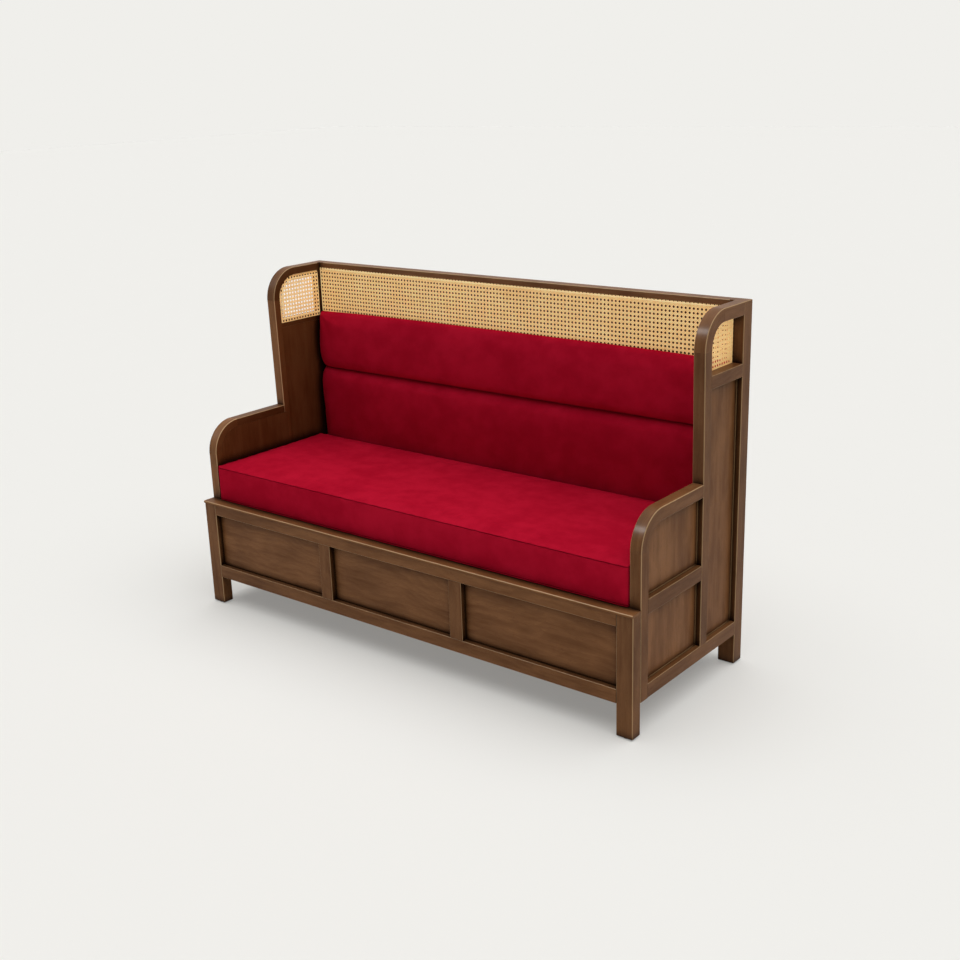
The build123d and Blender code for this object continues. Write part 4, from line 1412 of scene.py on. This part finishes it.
@dataclass
class BackPad(Upholstery):
    """The padded back: an upper and a lower roll with a sewn channel between them.

    Each roll's profile is a list of its height, from 0 at its lower end to 1 at its upper end,
    and how far the front lies behind the foremost plane there.
    """

    upper_roll: float = 0.190
    crown: float = 0.008
    crown_run: float = 0.05
    crown_fall: float = 0.8
    seam_reach: float = 0.0023
    # Painted shade beside the channel's seam, as a share of that in it.
    beside_depth: float = 0.35
    wall_shares: Pair = (0.15, 0.60)
    roll_cap: float = 0.0050
    wall_cap: float = 0.0015
    end_run: float = 0.034
    end_inset: float = 0.015
    corner_run: float = 0.045
    corner_inset: float = 0.014
    corner_fall: float = 0.020
    forward: float = 0.008
    sways: Waves = ((0.0008, 0.37, 0.7), (0.0006, 0.23, 2.1))
    sway_run: float = 0.15
    upper: tuple[Pair, ...] = (
        (0.000, 0.0240), (0.012, 0.0165), (0.035, 0.0120), (0.075, 0.0080), (0.140, 0.0042),
        (0.250, 0.0016), (0.420, 0.0006), (0.620, 0.0018), (0.780, 0.0038), (0.890, 0.0062),
        (0.950, 0.0088), (0.985, 0.0125), (1.000, 0.0165),
    )
    lower: tuple[Pair, ...] = (
        (0.000, 0.0080), (0.030, 0.0055), (0.100, 0.0045), (0.250, 0.0036), (0.450, 0.0024),
        (0.650, 0.0010), (0.800, 0.0004), (0.890, 0.0022), (0.945, 0.0058), (0.975, 0.0098),
        (0.992, 0.0165), (1.000, 0.0240),
    )
    steps: tuple[float, ...] = (0.0, 0.0022, 0.0050, 0.0090, 0.0150, 0.0230, 0.0330)

    def front_depth(
        self, across: Array, up: Array, channel: float, low: Array, high: Array
    ) -> Array:
        """How far the front lies behind the foremost plane.

        It follows the two rolls' profiles. It is drawn back by a quarter ellipse at both ends,
        and a little more where an end meets the channel.

        Args:
            across: Places along X on the grid.
            up: Levels on the grid.
            channel: The channel's level.
            low: The pad's lowest corner.
            high: Its highest corner.

        Returns:
            The depths on the grid.
        """
        half = (high[0] - low[0]) / 2
        upper, lower = np.array(self.upper), np.array(self.lower)
        depth = np.where(
            up >= channel,
            np.interp((up - channel) / (high[2] - channel), upper[:, 0], upper[:, 1]),
            np.interp((up - low[2]) / (channel - low[2]), lower[:, 0], lower[:, 1]),
        )
        into = np.clip((np.abs(across) - half + self.end_run) / self.end_run, 0, 1)
        depth = depth + self.end_inset * (1 - np.sqrt(1 - into**2))
        corner = np.clip((np.abs(across) - half + self.corner_run) / self.corner_run, 0, 1) ** 2
        return depth + self.corner_inset * corner * np.exp(-np.abs(up - channel) / self.corner_fall)

    def cover(self) -> Cover:
        """The pad's skin: a front grid, with lines close together at the channel, and a back."""
        low, high = (np.array(corner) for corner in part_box("back_pad"))
        channel = high[2] - self.crown - self.upper_roll
        half = (high[0] - low[0]) / 2
        x = spaced(-half, half, self.steps, self.spacing)
        lines = spaced(low[2], channel, self.steps, self.spacing)
        z = np.concatenate([lines, spaced(channel, high[2], self.steps, self.spacing)[1:]])
        x_grid, z_grid = np.meshgrid(x, z, indexing="ij")
        from_channel = np.abs(z_grid - channel)
        swell = np.sin(np.clip(from_channel / self.sway_run, 0, 1) * pi)
        depth = self.front_depth(x_grid, z_grid, channel, low, high)
        front = low[1] - self.forward + self.roll_cap + depth + ripple(x_grid, self.sways) * swell
        crown = self.crown * (1 - self.crown_fall * (np.abs(x_grid) / half) ** 4)
        rise = np.clip((z_grid - high[2] + self.crown_run) / self.crown_run, 0, 1)
        near = np.stack([x_grid, front, z_grid - (self.crown - crown) * rise], axis=-1)
        far = near.copy()
        far[..., 1] = high[1]
        net = BoxNet(len(x), len(z), len(self.wall_shares))
        rim = net.rim()
        near, far = near.reshape(-1, 3), far.reshape(-1, 3)
        walls = [near[rim] + (far[rim] - near[rim]) * share for share in self.wall_shares]
        points = np.concatenate([near, *walls, far])
        piece = make_piece("velvet_back_pad", points, net.faces())
        # Painted shade in the channel's seam, and less beside it.
        in_seam = (from_channel < TINY).ravel() * 1.0
        beside = (from_channel < self.seam_reach).ravel() * self.beside_depth
        rest = np.zeros(len(points) - len(near))
        seam = np.concatenate([np.maximum(in_seam, beside), rest])
        held = np.concatenate([in_seam, rest])
        held[-len(far):] = 1.0
        cap = np.repeat([self.roll_cap, self.wall_cap], [len(near), len(rest)])
        return Cover(piece, held, cap, seam, low - (0.0, self.forward, 0.0), high)

    def build(self) -> None:
        """Make, swell and dress the pad."""
        self.make_up(self.cover(), "velvet_back", "back_pad", "settle", 0.75)


# Studio
@dataclass
class Studio:
    """The plain pale floor, the soft light and the camera at the photograph's angle.

    The key is one very broad soft lamp overhead, a little in front and to the right. The gloss is
    a small lamp at the front left that only gloss shows, on edges and rounded corners.
    """

    pale: Colour = (0.871, 0.863, 0.831)
    camera_place: Three = (2.391927, -2.8176, 1.670748)
    yaw: float = -0.68221582
    pitch: float = 0.30986918
    roll: float = -0.03277085
    focal_pixels: float = 1276.10
    sensor: float = 36.0
    world_strength: float = 0.12
    key_strength: float = 2.80
    key_angle: float = 86.0
    key_aim: Three = (-0.10, -0.06, -1.0)
    gloss_strength: float = 3.2
    gloss_angle: float = 14.0
    gloss_aim: Three = (0.497, 0.554, -0.668)
    shadow_lift: float = 0.28
    floor_reach: float = 30.0
    mottle: Mottle = Mottle((3.0, 3.0, 1.0))
    mottle_share: float = 0.3
    mottle_tone: float = 0.985

    def set_camera(self) -> None:
        """Put the camera where it was fitted to the photograph."""
        level = Vector((sin(self.yaw), cos(self.yaw), 0.0))
        forward = level * cos(self.pitch) - Vector((0.0, 0.0, sin(self.pitch)))
        right = Vector((cos(self.yaw), -sin(self.yaw), 0.0))
        up = right.cross(forward)
        rolled = right * cos(self.roll) + up * sin(self.roll)
        upright = up * cos(self.roll) - right * sin(self.roll)
        turn = Matrix((rolled, upright, -forward)).transposed().to_4x4()
        lens = bpy.data.cameras.new("camera")
        lens.sensor_width = self.sensor
        lens.lens = self.focal_pixels / IMAGE_PIXELS * self.sensor
        camera = bpy.data.objects.new("camera", lens)
        camera.matrix_world = Matrix.Translation(self.camera_place) @ turn
        bpy.context.scene.collection.objects.link(camera)
        bpy.context.scene.camera = camera

    def set_world(self) -> None:
        """Light from all round, which the camera and the gloss see as the pale backdrop."""
        world = bpy.data.worlds.new("pale_room")
        web = NodeWeb(world)
        even = {"Color": (1.0, 1.0, 1.0, 1.0), "Strength": self.world_strength}
        lit = web.node("ShaderNodeBackground", inputs=even)
        shown = web.node("ShaderNodeBackground", inputs={"Color": (*self.pale, 1.0)})
        mixed = web.node("ShaderNodeMixShader", inputs={0: web.seen(), 1: lit, 2: shown})
        web.end("ShaderNodeOutputWorld", mixed)
        bpy.context.scene.world = world

    @staticmethod
    def add_lamp(name: str, strength: float, angle: float, aim: Three) -> bpy.types.Object:
        """Add a white lamp that shines from far away.

        Args:
            name: Its name.
            strength: Its strength.
            angle: How wide it is in the sky, in degrees.
            aim: The way that its light goes.

        Returns:
            The lamp's object.
        """
        lamp = bpy.data.lights.new(name, "SUN")
        lamp.energy = strength
        lamp.angle = radians(angle)
        holder = bpy.data.objects.new(name, lamp)
        holder.rotation_euler = Vector(aim).normalized().to_track_quat("-Z", "Y").to_euler()
        bpy.context.scene.collection.objects.link(holder)
        return holder

    def lay_floor(self) -> None:
        """A wide, faintly mottled floor, on which the camera sees shadows a little lifted."""
        corners = np.array([(-1, -1, 0), (1, -1, 0), (1, 1, 0), (-1, 1, 0)]) * self.floor_reach
        floor = make_piece("floor", corners, [[0, 1, 2, 3]])
        web = NodeWeb.of_material("pale_floor")
        darker = tuple(value * self.mottle_tone for value in self.pale)
        mottled = Coat(darker, self.mottle_share)
        body = web.layers(self.pale, (web.noise(web.place(), self.mottle), mottled))
        surface = web.node("ShaderNodeBsdfDiffuse", inputs={"Color": body, "Roughness": 0.0})
        plain = web.node("ShaderNodeEmission", inputs={"Color": body, "Strength": 1.0})
        lifted = {0: web.seen() * self.shadow_lift, 1: surface, 2: plain}
        web.end("ShaderNodeOutputMaterial", web.node("ShaderNodeMixShader", inputs=lifted))
        assign(floor, web.holder)
        floor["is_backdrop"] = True

    def build(self) -> None:
        """Set up the camera, the lights and the floor."""
        bpy.context.scene.view_settings.view_transform = "Standard"
        self.set_camera()
        self.set_world()
        self.add_lamp("key", self.key_strength, self.key_angle, self.key_aim)
        gloss = self.add_lamp("gloss", self.gloss_strength, self.gloss_angle, self.gloss_aim)
        gloss.visible_diffuse = False
        self.lay_floor()


def main() -> None:
    """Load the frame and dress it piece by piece."""
    logging.basicConfig(level=logging.INFO, format="%(name)s: %(message)s", stream=sys.stdout)
    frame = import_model()
    cad_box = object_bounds()
    Studio().build()
    Joinery(frame["nodes"]).dress()
    SmallParts().dress(frame["nodes"])
    CaneWork(cad_box[1].z, CaneBark().make()).build()
    BackPad().build()
    SeatCushion().build()


if __name__ == "__main__":
    main()
